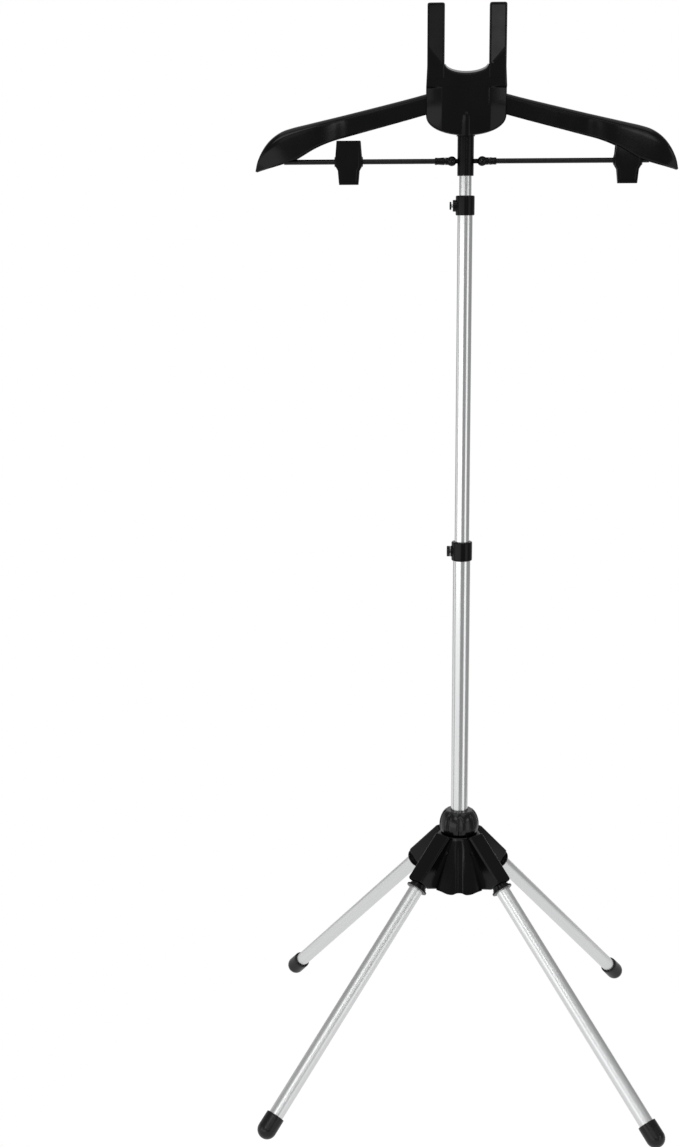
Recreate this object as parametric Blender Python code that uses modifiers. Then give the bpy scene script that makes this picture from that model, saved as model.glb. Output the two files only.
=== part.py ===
"""Folding hanger stand for a hand steamer.

Four folding legs on a hub, a three-stage telescopic pole with two thumbscrew collars, and a
swivelling hanger head with a fork, two folding arms and two trouser clips on thin rods.
Run it with: blender --background --python part.py
Lengths below are in millimetres and are turned into metres by MM. +Z is up, -Y is the front,
and the origin is on the ground under the pole.
"""

import math

import bmesh
import bpy
from mathutils import Matrix

MM = 0.001
GAP = 0.3  # clearance between pieces that touch

# Legs
FOOT_REACH = 286.4  # from the pole's axis to a foot's centre
FOOT_RADIUS = 10.3
FOOT_HEIGHT = 9.9  # a little less than the radius, which leaves a small flat to stand on
LEG_PIVOT_REACH = 30.0
LEG_PIVOT_HEIGHT = 252.8
LEG_RADIUS = 8.0
LEG_WALL = 1.0
LEG_HEEL = 5.0  # how far the leg tube runs past its pivot
LEG_AZIMUTHS = {"front_right": -45, "back_right": 45, "back_left": 135, "front_left": -135}
PIN_RADIUS = 2.0
CHANNEL_END = 46.0  # from the pivot to the channel's mouth, along the leg
CHANNEL_ROOF = 11.0  # the channel's top, square to the leg's axis
CHANNEL_ROOM_ROOF = 9.8
CHANNEL_MOUTH_LOW = -5.0  # the mouth's lower corner, square to the leg's axis
CHANNEL_HEEL = -16.5  # the channel's upper end, along the leg from the pivot
CHANNEL_HALF_WIDTH = 10.5
CHANNEL_WALL = 1.5
CHANNEL_START = 12.0  # from the pole's axis to a channel's solid inner end
CHANNEL_ROOM_START = 16.0  # and to the room that the leg swings in

# Hub
DECK_TOP = 268.4
SKIRT_TOP_RADIUS = 22.5
SKIRT_LOW_RADIUS = 46.0
SKIRT_LOW = 210.5
BOSS_RADIUS = 13.2
BOSS_LOW = 215.0
SEAT_RADIUS = 22.6
KNOB_LOW = 269.0
KNOB_TOP = 294.8
KNOB_LOBES = 9
KNOB_TURN = 11.5  # degrees, which puts a groove at the front
COLLET_RADIUS = 12.0
COLLET_TOP = 285.0

# Pole: outer radius, wall, bottom and top of each tube
LOWER_TUBE = {"radius": 9.5, "wall": 1.0, "low": 217.0, "top": 597.0}
MID_TUBE = {"radius": 8.0, "wall": 0.8, "low": 575.0, "top": 966.0}
TOP_TUBE = {"radius": 6.5, "wall": 0.8, "low": 625.0, "top": 1030.0}
LOWER_COLLAR = {"radius": 11.35, "low": 581.0, "top": 602.0, "screw": 591.0}
UPPER_COLLAR = {"radius": 10.0, "low": 950.0, "top": 970.5, "screw": 960.0}
LOWER_BOSS = {"radius": 6.0, "face": 12.5}  # the collar's screw boss, and its face's reach
UPPER_BOSS = {"radius": 6.1, "face": 13.0}
LOCK_SCREW_RADIUS = 2.0

# Head
STEM_RADIUS = 8.6
STEM_LOW = 990.4
SHIELD_HALF_WIDTH = 41.5
SHIELD_LOW = 1031.0
SHIELD_SIDE_LOW = 1052.0
CREASE_HEIGHT = 1070.0
HEAD_BACK = -7.5  # rear face of the front moulding; the arms fold up behind it
CREST_DEPTH = 18.5
FORK_FACE = -19.0
SADDLE_HEIGHT = 1093.0
PRONG_ROOT = 1100.0
PRONG_TOP = 1162.0
PRONG_OUTER = 40.5
PRONG_INNER = 22.75
REAR_PLATE_FRONT = 12.4
REAR_PLATE_BACK = 15.6
ARM_PIVOT_X = 28.0
ARM_PIVOT_HEIGHT = 1066.5
ARM_LOBE_RADIUS = 10.3
ARM_PIN_RADIUS = 3.0
SCREW_HEIGHTS = {"lower": 1046.0, "upper": 1080.0}

# Trouser rods and clips
ROD_HEIGHT = 1005.5
ROD_RADIUS = 2.5
ROD_END = 190.0
BALL_RADIUS = 5.0
BALL_REACH = {"left": 14.3, "right": 17.2}
SLEEVE_END = 32.0
CLIP_REACH = {"left": 122.0, "right": 168.0}
CLIP_TOP = 21.3  # above the rod
CLIP_LOW = 23.5  # below the rod
CLIP_HALF_WIDTH = 14.8

# Facets
TURN_STEPS = 16
POLE_STEPS = 24
SKIRT_STEPS = 32

INK = (0.012, 0.012, 0.013)


def clear_scene():
    for thing in list(bpy.data.objects):
        bpy.data.objects.remove(thing, do_unlink=True)


def new_collection(name):
    made = bpy.data.collections.new(name)
    bpy.context.scene.collection.children.link(made)
    return made


clear_scene()
PARTS = new_collection("hanger_stand")
CUTTERS = new_collection("cutters")


# ---------------------------------------------------------------- helpers

def finish(name, colour, roughness, metallic=0.0):
    """A material with a Principled BSDF."""
    material = bpy.data.materials.new(name)
    material.use_nodes = True
    shader = material.node_tree.nodes["Principled BSDF"]
    shader.inputs["Base Color"].default_value = (*colour, 1.0)
    shader.inputs["Roughness"].default_value = roughness
    shader.inputs["Metallic"].default_value = metallic
    material.diffuse_color = (*colour, 1.0)
    return material


def black_plastic(name):
    return finish(name + "_plastic", INK, 0.3)


def aluminium(name):
    return finish(name + "_aluminium", (0.76, 0.77, 0.78), 0.35, 1.0)


def steel(name):
    return finish(name + "_steel", (0.55, 0.56, 0.58), 0.3, 1.0)


def rubber(name):
    return finish(name + "_rubber", (0.01, 0.01, 0.01), 0.6)


def empty(name, spot, turn=None, parent=None):
    """An empty at a spot in millimetres, which carries the pieces that are placed from it."""
    holder = bpy.data.objects.new(name, None)
    holder.matrix_world = Matrix.Translation([value * MM for value in spot]) @ (turn or Matrix())
    holder.parent = parent
    CUTTERS.objects.link(holder)
    return holder


def spin(degrees, axis):
    return Matrix.Rotation(math.radians(degrees), 4, axis)


ALONG_X = spin(90, "Y")  # a shape made along Z then lies along +X
ALONG_MINUS_X = spin(-90, "Y")
ALONG_Y = spin(-90, "X")
IN_XZ = spin(90, "X")  # an outline drawn in XY then stands in XZ, its thickness along -Y


def add_object(name, mesh, material=None, spot=(0, 0, 0), turn=None, parent=None):
    """Add a mesh as a part when it has a material, or else as a hidden cutter or guide."""
    thing = bpy.data.objects.new(name, mesh)
    place = Matrix.Translation([value * MM for value in spot])
    thing.matrix_basis = place @ (turn or Matrix())
    thing.parent = parent
    if material:
        mesh.materials.append(material)
        PARTS.objects.link(thing)
    else:
        thing.hide_render = True
        thing.display_type = "WIRE"
        CUTTERS.objects.link(thing)
    mesh.shade_smooth()
    mesh.set_sharp_from_angle(angle=math.radians(32))
    return thing


def mesh_from(bm, name):
    mesh = bpy.data.meshes.new(name)
    bmesh.ops.recalc_face_normals(bm, faces=bm.faces)
    bm.to_mesh(mesh)
    bm.free()
    return mesh


def turned(name, profile, material=None, steps=TURN_STEPS, **place):
    """Revolve (radius, height) points about Z. The points run down the outer side, and a
    profile that doesn't reach the axis is a closed loop, which makes a ring."""
    bm = bmesh.new()
    verts = [bm.verts.new((radius * MM, 0, height * MM)) for radius, height in profile]
    ends = list(zip(verts, verts[1:]))
    if min(radius for radius, _ in profile) > 0:
        ends.append((verts[-1], verts[0]))
    for pair in ends:
        bm.edges.new(pair)
    mesh = bpy.data.meshes.new(name)
    bm.to_mesh(mesh)
    bm.free()
    thing = add_object(name, mesh, material, **place)
    screw = thing.modifiers.new("turn", "SCREW")
    screw.steps = steps
    screw.render_steps = steps
    screw.use_merge_vertices = True
    screw.merge_threshold = 0.00001
    return thing


def ring(name, outer, inner, low, top, material=None, steps=TURN_STEPS, chamfer=0.0, **place):
    """A round sleeve, with its outer rims chamfered."""
    profile = [(outer, top - chamfer), (outer, low + chamfer)]
    if chamfer:
        profile = [(outer - chamfer, top)] + profile + [(outer - chamfer, low)]
    profile += [(inner, low), (inner, top)]
    return turned(name, profile, material, steps, **place)


def cylinder(name, radius, low, top, material=None, steps=TURN_STEPS, **place):
    bm = bmesh.new()
    bmesh.ops.create_cone(
        bm, cap_ends=True, segments=steps, radius1=radius * MM, radius2=radius * MM,
        depth=(top - low) * MM,
    )
    bmesh.ops.translate(bm, verts=bm.verts, vec=(0, 0, (low + top) / 2 * MM))
    return add_object(name, mesh_from(bm, name), material, **place)


def box(name, low, top, material=None, **place):
    bm = bmesh.new()
    bmesh.ops.create_cube(bm, size=1.0)
    for vert in bm.verts:
        for axis in range(3):
            vert.co[axis] = (low[axis] if vert.co[axis] < 0 else top[axis]) * MM
    return add_object(name, mesh_from(bm, name), material, **place)


def plate(name, outline, low, top, material=None, **place):
    """A flat outline in XY, extruded from low to top along Z."""
    curve = bpy.data.curves.new(name, "CURVE")
    curve.dimensions = "2D"
    curve.fill_mode = "BOTH"
    curve.extrude = (top - low) / 2 * MM
    spline = curve.splines.new("POLY")
    spline.points.add(len(outline) - 1)
    for point, (x, y) in zip(spline.points, outline):
        point.co = (x * MM, y * MM, 0, 1)
    spline.use_cyclic_u = True
    mesh = mesh_of_curve(curve, name)
    mesh.transform(Matrix.Translation((0, 0, (low + top) / 2 * MM)))
    return add_object(name, mesh, material, **place)


def mesh_of_curve(curve, name):
    """The welded mesh of a curve, whose own object is then removed."""
    guide = bpy.data.objects.new(name + "_curve", curve)
    CUTTERS.objects.link(guide)
    graph = bpy.context.evaluated_depsgraph_get()
    mesh = bpy.data.meshes.new_from_object(guide.evaluated_get(graph))
    bpy.data.objects.remove(guide, do_unlink=True)
    bm = bmesh.new()
    bm.from_mesh(mesh)
    bmesh.ops.remove_doubles(bm, verts=bm.verts, dist=0.00001)
    bmesh.ops.recalc_face_normals(bm, faces=bm.faces)
    bm.to_mesh(mesh)
    bm.free()
    mesh.name = name
    return mesh


def loft(name, loops, material=None, capped=True, **place):
    """Skin a row of loops, each a list of points in millimetres with the same count."""
    bm = bmesh.new()
    rows = [[bm.verts.new([value * MM for value in point]) for point in loop] for loop in loops]
    count = len(rows[0])
    for row, following in zip(rows, rows[1:]):
        for i in range(count):
            j = (i + 1) % count
            bm.faces.new((row[i], row[j], following[j], following[i]))
    bmesh.ops.triangulate(bm, faces=bm.faces)  # the quads aren't flat
    if capped:
        bm.faces.new(rows[0])
        bm.faces.new(rows[-1])
    return add_object(name, mesh_from(bm, name), material, **place)


def boolean(thing, other, operation):
    step = thing.modifiers.new(operation.lower() + "_" + other.name, "BOOLEAN")
    step.operation = operation
    step.object = other
    step.solver = "EXACT"


def cut(thing, *cutters):
    for cutter in cutters:
        boolean(thing, cutter, "DIFFERENCE")


def join(thing, *others):
    for other in others:
        boolean(thing, other, "UNION")


def keep(thing, other):
    boolean(thing, other, "INTERSECT")


def bevel(thing, width, segments=1, angle=40):
    step = thing.modifiers.new("soft_edges", "BEVEL")
    step.width = width * MM
    step.segments = segments
    step.limit_method = "ANGLE"
    step.angle_limit = math.radians(angle)
    step.use_clamp_overlap = True


def arc(centre, radius, start, end, count):
    """Points on an arc, in the plane of the centre's two coordinates, angles in degrees."""
    points = []
    for i in range(count + 1):
        angle = math.radians(start + (end - start) * i / count)
        points.append((centre[0] + radius * math.cos(angle), centre[1] + radius * math.sin(angle)))
    return points


# ---------------------------------------------------------------- base

LEG_RUN = FOOT_REACH - LEG_PIVOT_REACH
LEG_DROP = LEG_PIVOT_HEIGHT - FOOT_HEIGHT
LEG_LENGTH = math.hypot(LEG_RUN, LEG_DROP)
LEG_SLOPE = math.degrees(math.atan2(LEG_DROP, LEG_RUN))


def along_leg(distance, offset):
    """The (reach, height) of a point given along the leg and square to it, upwards."""
    slope = math.radians(LEG_SLOPE)
    reach = LEG_PIVOT_REACH + distance * math.cos(slope) + offset * math.sin(slope)
    height = LEG_PIVOT_HEIGHT - distance * math.sin(slope) + offset * math.cos(slope)
    return reach, height


def channel_outline():
    """Side view of a leg channel, from the hub's middle out to its mouth."""
    return [
        (CHANNEL_START, SKIRT_LOW + 2.7),
        (43.0, SKIRT_LOW + 3.0),
        along_leg(CHANNEL_END - 0.8, CHANNEL_MOUTH_LOW),
        along_leg(CHANNEL_END, CHANNEL_MOUTH_LOW + 1.5),
        along_leg(CHANNEL_END, CHANNEL_ROOF - 2.0),
        along_leg(CHANNEL_END - 2.0, CHANNEL_ROOF),
        along_leg(CHANNEL_HEEL + 2.5, CHANNEL_ROOF),
        along_leg(CHANNEL_HEEL, CHANNEL_ROOF - 0.8),
        (23.2, DECK_TOP + 1.8),
        (22.0, DECK_TOP - 0.5),
        (CHANNEL_START, DECK_TOP - 0.5),
    ]


def channel_hollow_outline():
    """Side view of the room that a leg swings in, open below and at the mouth."""
    pivot = (LEG_PIVOT_REACH, LEG_PIVOT_HEIGHT)
    around_heel = arc(pivot, CHANNEL_ROOM_ROOF, 90 - LEG_SLOPE, 180, 6)
    return [
        (CHANNEL_ROOM_START, 190.0),
        (95.0, 190.0),
        along_leg(CHANNEL_END + 15, CHANNEL_ROOM_ROOF),
        *around_heel,
        (CHANNEL_ROOM_START, LEG_PIVOT_HEIGHT - 4.0),
    ]


def skirt_loop(share):
    """One ring of the skirt, from its top (share 0) to its wavy bottom edge (share 1)."""
    points = []
    count = SKIRT_STEPS
    for i in range(count):
        angle = 2 * math.pi * i / count
        across = math.cos(4 * angle)  # 1 at the middle of a panel, -1 at a leg
        crease = math.exp(-((1 - across) / 0.12) ** 2)
        lobe = math.exp(-((across - 0.45) / 0.5) ** 2)
        radius = SKIRT_LOW_RADIUS - 0.8 * crease + 0.5 * lobe
        low = SKIRT_LOW + 2.1 * crease - 1.2 * lobe + 1.5 * (1 - across)
        reach = SKIRT_TOP_RADIUS + (radius - SKIRT_TOP_RADIUS) * share ** 0.92
        height = DECK_TOP + (low - DECK_TOP) * share
        points.append((reach * math.cos(angle), reach * math.sin(angle), height))
    return points


def make_hub():
    hub = loft(
        "hub_body", [skirt_loop(i / 3) for i in range(4)], black_plastic("hub_body"),
        capped=False,
    )
    shell = hub.modifiers.new("shell", "SOLIDIFY")
    shell.thickness = 2.0 * MM
    shell.offset = -1.0
    shell.use_even_offset = True
    join(hub, cylinder("hub_deck", SKIRT_TOP_RADIUS - 0.4, DECK_TOP - 3.2, DECK_TOP - 0.3,
                       steps=POLE_STEPS))
    channels = []
    hollows = []
    pin_holes = []
    for name, azimuth in LEG_AZIMUTHS.items():
        turn = spin(azimuth, "Z") @ IN_XZ
        channel = plate(
            "channel_" + name, channel_outline(), -CHANNEL_HALF_WIDTH, CHANNEL_HALF_WIDTH,
            turn=turn,
        )
        bevel(channel, 1.1, 1, 50)
        channels.append(channel)
        half = CHANNEL_HALF_WIDTH - CHANNEL_WALL
        hollows.append(
            plate("hollow_" + name, channel_hollow_outline(), -half, half, turn=turn)
        )
        pin_holes.append(
            cylinder(
                "pin_hole_" + name, PIN_RADIUS + GAP, -14, 14, steps=12,
                parent=leg_frames[name], turn=ALONG_Y,
            )
        )
    join(hub, *channels)
    cut(hub, *hollows)
    join(hub, cylinder("hub_boss", BOSS_RADIUS, BOSS_LOW, DECK_TOP - 1.0))
    rib = [
        (11.5, 224.0), (39.3, 224.0), (31.6, 245.0), (22.6, DECK_TOP - 3.0),
        (11.5, DECK_TOP - 2.0),
    ]
    for azimuth in (0, 90, 180, 270):
        join(hub, plate("hub_rib_%d" % azimuth, rib, -1.3, 1.3, turn=spin(azimuth, "Z") @ IN_XZ))
    seat = cylinder("knob_seat", SEAT_RADIUS, DECK_TOP, DECK_TOP + 30, steps=POLE_STEPS)
    bore = cylinder("pole_bore", LOWER_TUBE["radius"] + GAP, BOSS_LOW - 10, DECK_TOP + 10,
                    steps=POLE_STEPS)
    cut(hub, seat, bore, *pin_holes)


def knob_ring(radius, height, flute):
    """One ring of the clamp knob; flute is the depth of the grooves between its lobes."""
    count = KNOB_LOBES * 4
    points = []
    for i in range(count):
        angle = 2 * math.pi * i / count + math.radians(KNOB_TURN)
        groove = (0.5 - 0.5 * math.cos(2 * math.pi * i * KNOB_LOBES / count)) ** 3
        reach = radius - flute * groove
        points.append((reach * math.cos(angle), reach * math.sin(angle), height))
    return points


def make_knob():
    rings = [
        (17.4, KNOB_LOW, 0.0),
        (19.8, KNOB_LOW + 1.6, 0.7),
        (21.6, KNOB_LOW + 5.0, 1.3),
        (22.2, KNOB_LOW + 9.3, 1.5),
        (21.5, KNOB_LOW + 13.5, 1.5),
        (19.9, KNOB_LOW + 18.0, 1.3),
        (17.6, KNOB_LOW + 22.0, 1.1),
        (15.0, KNOB_TOP - 1.4, 0.6),
        (12.6, KNOB_TOP, 0.0),
    ]
    knob = loft("hub_knob", [knob_ring(*ring_size) for ring_size in rings],
                black_plastic("hub_knob"))
    tube_room = LOWER_TUBE["radius"] + GAP
    cut(
        knob,
        cylinder("knob_bore", tube_room, KNOB_LOW - 5, KNOB_TOP + 5, steps=POLE_STEPS),
        cylinder("knob_counterbore", COLLET_RADIUS + GAP, KNOB_LOW - 5, COLLET_TOP + GAP,
                 steps=POLE_STEPS),
    )
    collet = ring("hub_collet", COLLET_RADIUS, tube_room, KNOB_LOW, COLLET_TOP,
                  black_plastic("hub_collet"), chamfer=0.8)
    slot = box("collet_slot", (5, -0.9, KNOB_LOW + 5), (16, 0.9, COLLET_TOP + 4))
    cut(collet, slot)


def make_leg(name):
    frame = leg_frames[name]
    bore = LEG_RADIUS - LEG_WALL
    tube = ring("leg_tube_" + name, LEG_RADIUS, bore, -LEG_HEEL, LEG_LENGTH - 5.0,
                aluminium("leg_tube_" + name), parent=frame, turn=ALONG_X)
    cut(tube, cylinder("leg_eye_" + name, PIN_RADIUS + GAP, -14, 14, steps=12,
                       parent=frame, turn=ALONG_Y))
    inner = LEG_RADIUS + GAP
    start = CHANNEL_END + 1.4
    collar = [
        (12.0, start + 4.3), (12.0, start + 2.3), (9.8, start + 1.9), (9.8, start),
        (inner, start), (inner, start + 4.3),
    ]
    turned("leg_collar_" + name, collar, black_plastic("leg_collar_" + name), parent=frame,
           turn=ALONG_X)
    dome = arc((0, LEG_LENGTH), FOOT_RADIUS, 90, 0, 5)
    cap = dome + [
        (FOOT_RADIUS, LEG_LENGTH - 14.0), (FOOT_RADIUS + 0.3, LEG_LENGTH - 14.3),
        (FOOT_RADIUS + 0.3, LEG_LENGTH - 16.5), (inner, LEG_LENGTH - 16.5),
        (inner, LEG_LENGTH - 4.6), (0, LEG_LENGTH - 4.6),
    ]
    cap[0] = (0, LEG_LENGTH + FOOT_RADIUS)
    foot = turned("foot_cap_" + name, cap, rubber("foot_cap_" + name), parent=frame, turn=ALONG_X)
    ground = box("ground_" + name, (-30, -30, -30), (30, 30, 0),
                 spot=(math.cos(math.radians(LEG_AZIMUTHS[name])) * FOOT_REACH,
                       math.sin(math.radians(LEG_AZIMUTHS[name])) * FOOT_REACH, 0))
    cut(foot, ground)
    half = CHANNEL_HALF_WIDTH - GAP
    cylinder("leg_pin_" + name, PIN_RADIUS, -half, half, steel("leg_pin_" + name), steps=12,
             parent=frame, turn=ALONG_Y)


# ---------------------------------------------------------------- pole

def tube(name, size):
    return ring(name, size["radius"], size["radius"] - size["wall"], size["low"], size["top"],
                aluminium(name), steps=POLE_STEPS)


def screw_hole(name, height, radius):
    """A hole through the left side of a tube or collar, for a thumbscrew or its pad."""
    return cylinder(name, radius, 5.0, 20.0, steps=16, spot=(0, 0, height), turn=ALONG_MINUS_X)


def guide_bush(name, inside, around):
    """The plastic end of a sliding tube: a spigot in its own bore and a head that runs in the
    bore of the tube around it."""
    spigot = inside["radius"] - inside["wall"] - GAP
    head = around["radius"] - around["wall"] - GAP
    low = inside["low"]
    profile = [
        (spigot, low + 15), (spigot, low - GAP), (head, low - GAP), (head, low - 11),
        (head - 0.8, low - 12), (spigot - 2.0, low - 12), (spigot - 2.0, low + 15),
    ]
    turned(name, profile, black_plastic(name), steps=POLE_STEPS)


def make_collar(name, size, outer_tube, inner_tube, boss_size):
    """A collar fixed on the top of one tube, whose screw boss points to the left."""
    room = outer_tube["radius"] + GAP
    lip = inner_tube["radius"] + GAP
    step = outer_tube["top"] + GAP
    low, top, radius = size["low"], size["top"], size["radius"]
    blank = [(0, top), (radius - 0.8, top), (radius, top - 0.8), (radius, low + 0.8),
             (radius - 0.8, low), (0, low)]
    collar = turned(name, blank, black_plastic(name), steps=POLE_STEPS)
    boss = cylinder(name + "_boss", boss_size["radius"], 3.0, boss_size["face"],
                    spot=(0, 0, size["screw"]), turn=ALONG_MINUS_X)
    bevel(boss, 0.5)
    join(collar, boss)
    cut(
        collar,
        cylinder(name + "_bore", room, low - 5, step, steps=POLE_STEPS),
        cylinder(name + "_mouth", lip, low, top + 5, steps=POLE_STEPS),
        screw_hole(name + "_hole", size["screw"], LOCK_SCREW_RADIUS + GAP),
    )


def make_lock(name, head, inner_radius, frame):
    """A thumbscrew: moulded head, steel screw, and the pad at its tip that grips the tube.
    head holds the radius, start and end of the moulded head along the screw."""
    radius, start, end = head
    pad_tip = inner_radius + GAP
    pad_root = pad_tip + 1.6
    spindle = LOCK_SCREW_RADIUS
    head_profile = [
        (0, end), (radius - 0.9, end), (radius, end - 0.9), (radius, start + 0.5),
        (radius - 0.5, start), (spindle + GAP, start), (spindle + GAP, end - 1.2), (0, end - 1.2),
    ]
    knob = turned(name + "_knob", head_profile, black_plastic(name + "_knob"), parent=frame,
                  turn=ALONG_MINUS_X)
    for i in range(6):
        angle = math.radians(60 * i + 30)
        spot = (0, math.cos(angle) * (radius + 0.45), math.sin(angle) * (radius + 0.45))
        cut(knob, cylinder(name + "_grip_" + str(i), 1.2, start - 2, end + 2, steps=8,
                           parent=frame, spot=spot, turn=ALONG_MINUS_X))
    cylinder(name + "_screw", spindle, pad_root + GAP, end - 1.2 - GAP, steel(name + "_screw"),
             steps=16, parent=frame, turn=ALONG_MINUS_X)
    cylinder(name + "_pad", spindle, pad_tip, pad_root, black_plastic(name + "_pad"), steps=16,
             parent=frame, turn=ALONG_MINUS_X)


def make_pole():
    lower = tube("lower_tube", LOWER_TUBE)
    mid = tube("mid_tube", MID_TUBE)
    tube("top_tube", TOP_TUBE)
    hole = LOCK_SCREW_RADIUS + GAP
    cut(lower, screw_hole("lower_tube_hole", LOWER_COLLAR["screw"], hole))
    cut(mid, screw_hole("mid_tube_hole", UPPER_COLLAR["screw"], hole))
    bore = LOWER_TUBE["radius"] - LOWER_TUBE["wall"] - GAP
    low = LOWER_TUBE["low"]
    turned("pole_plug", [
        (0, low + 8), (bore, low + 8), (bore, low - GAP), (LOWER_TUBE["radius"], low - GAP),
        (LOWER_TUBE["radius"], low - 2.2), (0, low - 2.2),
    ], black_plastic("pole_plug"))
    guide_bush("mid_tube_bush", MID_TUBE, LOWER_TUBE)
    guide_bush("top_tube_bush", TOP_TUBE, MID_TUBE)
    make_collar("lower_collar", LOWER_COLLAR, LOWER_TUBE, MID_TUBE, LOWER_BOSS)
    make_collar("upper_collar", UPPER_COLLAR, MID_TUBE, TOP_TUBE, UPPER_BOSS)
    lower_frame = empty("lower_lock_axis", (0, 0, LOWER_COLLAR["screw"]))
    upper_frame = empty("upper_lock_axis", (0, 0, UPPER_COLLAR["screw"]))
    make_lock("lower_lock", (6.0, LOWER_BOSS["face"] + GAP, 16.4), MID_TUBE["radius"], lower_frame)
    make_lock("upper_lock", (4.5, UPPER_BOSS["face"] + 1.4, 16.3), TOP_TUBE["radius"], upper_frame)


# ---------------------------------------------------------------- head

def head_outline(inset=0.0):
    """Front view of the shield and the fork, as one outline in (x, height)."""
    half = SHIELD_HALF_WIDTH - inset
    depth = SHIELD_SIDE_LOW - SHIELD_LOW
    bowl = []
    for i in range(15):
        angle = math.pi * i / 14
        sag = depth * math.sin(angle) ** 0.9
        bowl.append((-half * math.cos(angle), SHIELD_SIDE_LOW + inset - sag))
    outer = PRONG_OUTER - inset
    top = PRONG_TOP - inset
    inner = PRONG_INNER + inset
    corner = 1.6
    right = [
        (half, CREASE_HEIGHT), (outer, PRONG_ROOT), (outer, top - corner), (outer - corner, top),
        (inner + corner, top), (inner, top - corner),
    ]
    left = [(-x, height) for x, height in reversed(right)]
    saddle = [(x, saddle_height(x) - inset) for x in (PRONG_INNER, 21.0, 17.0, 11.0, 4.0)]
    saddle += [(-x, height) for x, height in reversed(saddle)]
    return bowl + right + saddle + left


def saddle_height(x):
    """The saddle's curve at its front edge."""
    rise = PRONG_ROOT + 2.0 - SADDLE_HEIGHT
    return SADDLE_HEIGHT + rise * (1 - math.sqrt(max(0.0, 1 - (x / PRONG_INNER) ** 2)))


def crest(x, height):
    """How far the shield's front stands in front of the pole's axis."""
    share = min(1.0, max(0.0, (height - SHIELD_LOW) / 32.0))
    middle = 11.5 + (CREST_DEPTH - 11.5) * math.sin(share * math.pi / 2)
    return middle - 7.0 * (x / SHIELD_HALF_WIDTH) ** 2


def bulge(name, inset=0.0):
    """A block with the shield's convex front, from the head's rear face forwards."""
    loops = []
    for i in range(12):
        x = -45 + 90 * i / 11
        heights = [1024 + (CREASE_HEIGHT - 1024) * k / 7 for k in range(8)]
        front = [(x, inset - crest(x, height), height) for height in heights]
        top_face = FORK_FACE + inset
        front += [(x, top_face, CREASE_HEIGHT + 1.0), (x, top_face, PRONG_TOP + 6)]
        loops.append([(x, 2.0, 1024), *front, (x, 2.0, PRONG_TOP + 6)])
    return loft(name, loops)


def stand_plate(name, outline, front, back, material=None, **place):
    """An outline in (x, height), standing between two Y planes."""
    return plate(name, outline, -back, -front, material, turn=IN_XZ, **place)


def across(name, radius, front, back, x, height, material=None, steps=16):
    """A cylinder along Y between two Y planes."""
    return cylinder(name, radius, front, back, material, steps, spot=(x, 0, height), turn=ALONG_Y)


def prong_panel(side):
    """The shallow flat recess in a prong's front face, with a slanted foot."""
    low, top = PRONG_ROOT + 1.0, PRONG_TOP - 3.0
    inner, outer = PRONG_INNER + 2.2, PRONG_OUTER - 2.2
    outline = [(inner, low), (outer, low + 16), (outer, top), (inner, top)]
    outline = [(side * x, height) for x, height in outline]
    return stand_plate("prong_panel_%d" % side, outline, FORK_FACE - 5.0, FORK_FACE + 0.9)


def saddle_lip():
    """The raised rim along the back of the saddle."""
    stations = [-PRONG_INNER - 0.6 + (2 * PRONG_INNER + 1.2) * i / 12 for i in range(13)]
    low = [(x, saddle_height(min(abs(x), PRONG_INNER)) - 3.0) for x in stations]
    top = [(x, saddle_height(min(abs(x), PRONG_INNER)) + 2.6) for x in reversed(stations)]
    return stand_plate("saddle_lip", low + top, HEAD_BACK - 2.2, HEAD_BACK - 0.05)


# The neck's sections: height, radius, and how far its front stands in front of the pole's axis
NECK_SECTIONS = [
    (SHIELD_LOW - 0.4, 8.6, 13.2), (1038.0, 8.6, 15.2), (1045.0, 8.5, 17.1), (1050.0, 7.8, 17.9),
    (1053.5, 6.4, 17.8), (1055.5, 4.5, 17.4),
]


def neck():
    """The half-round neck that leans into the shield above the stem."""
    loops = []
    for height, radius, front in NECK_SECTIONS:
        centre = (0, radius - front)
        loops.append([(x, y, height) for x, y in arc(centre, radius, 0, 360 - 15, 23)])
    shape = loft("neck", loops)
    cut(shape, box("neck_back", (-20, HEAD_BACK - 1.3, 1020), (20, 20, 1060)))
    return shape


def make_head_front():
    head = stand_plate("head_front", head_outline(), -40.0, HEAD_BACK, black_plastic("head_front"))
    keep(head, bulge("head_bulge"))
    room_outline = [
        (-31, 1062), (-21, 1047), (-9, 1041), (9, 1041), (21, 1047), (31, 1062), (36, 1068),
        (36, 1087), (-36, 1087), (-36, 1068),
    ]
    room = stand_plate("head_room", room_outline, -60.0, HEAD_BACK + 1.0)
    keep(room, bulge("head_room_bulge", 2.2))
    cut(head, room)
    join(head, saddle_lip(), neck())
    sides = (-1, 1)
    for side in sides:
        cut(head, prong_panel(side))
        spot = (side * ARM_PIVOT_X, ARM_PIVOT_HEIGHT)
        join(head, across("arm_boss_%d" % side, 5.6, -14.2, HEAD_BACK - 0.2, *spot))
        cut(head, across("arm_socket_%d" % side, ARM_PIN_RADIUS + GAP, -11.6, 0, *spot))
    for level, height in SCREW_HEIGHTS.items():
        front = -17.6 if level == "upper" else -14.8
        join(head, across("screw_boss_" + level, 4.0, front, HEAD_BACK - 0.2, 0, height))
        cut(head, across("screw_socket_" + level, 1.9, -12.4, 0, 0, height))


def stem_tongue(side):
    """The flat lug on the stem that a trouser rod hinges on."""
    reach = BALL_REACH[side]
    eye = arc((reach, ROD_HEIGHT), 2.4, -90, 90, 6)
    outline = [(7.5, ROD_HEIGHT - 2.4), *eye, (7.5, ROD_HEIGHT + 2.4)]
    outline = [(SIDES[side] * x, height) for x, height in outline]
    return stand_plate("stem_tongue_" + side, outline, -1.5, 1.5)


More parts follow.
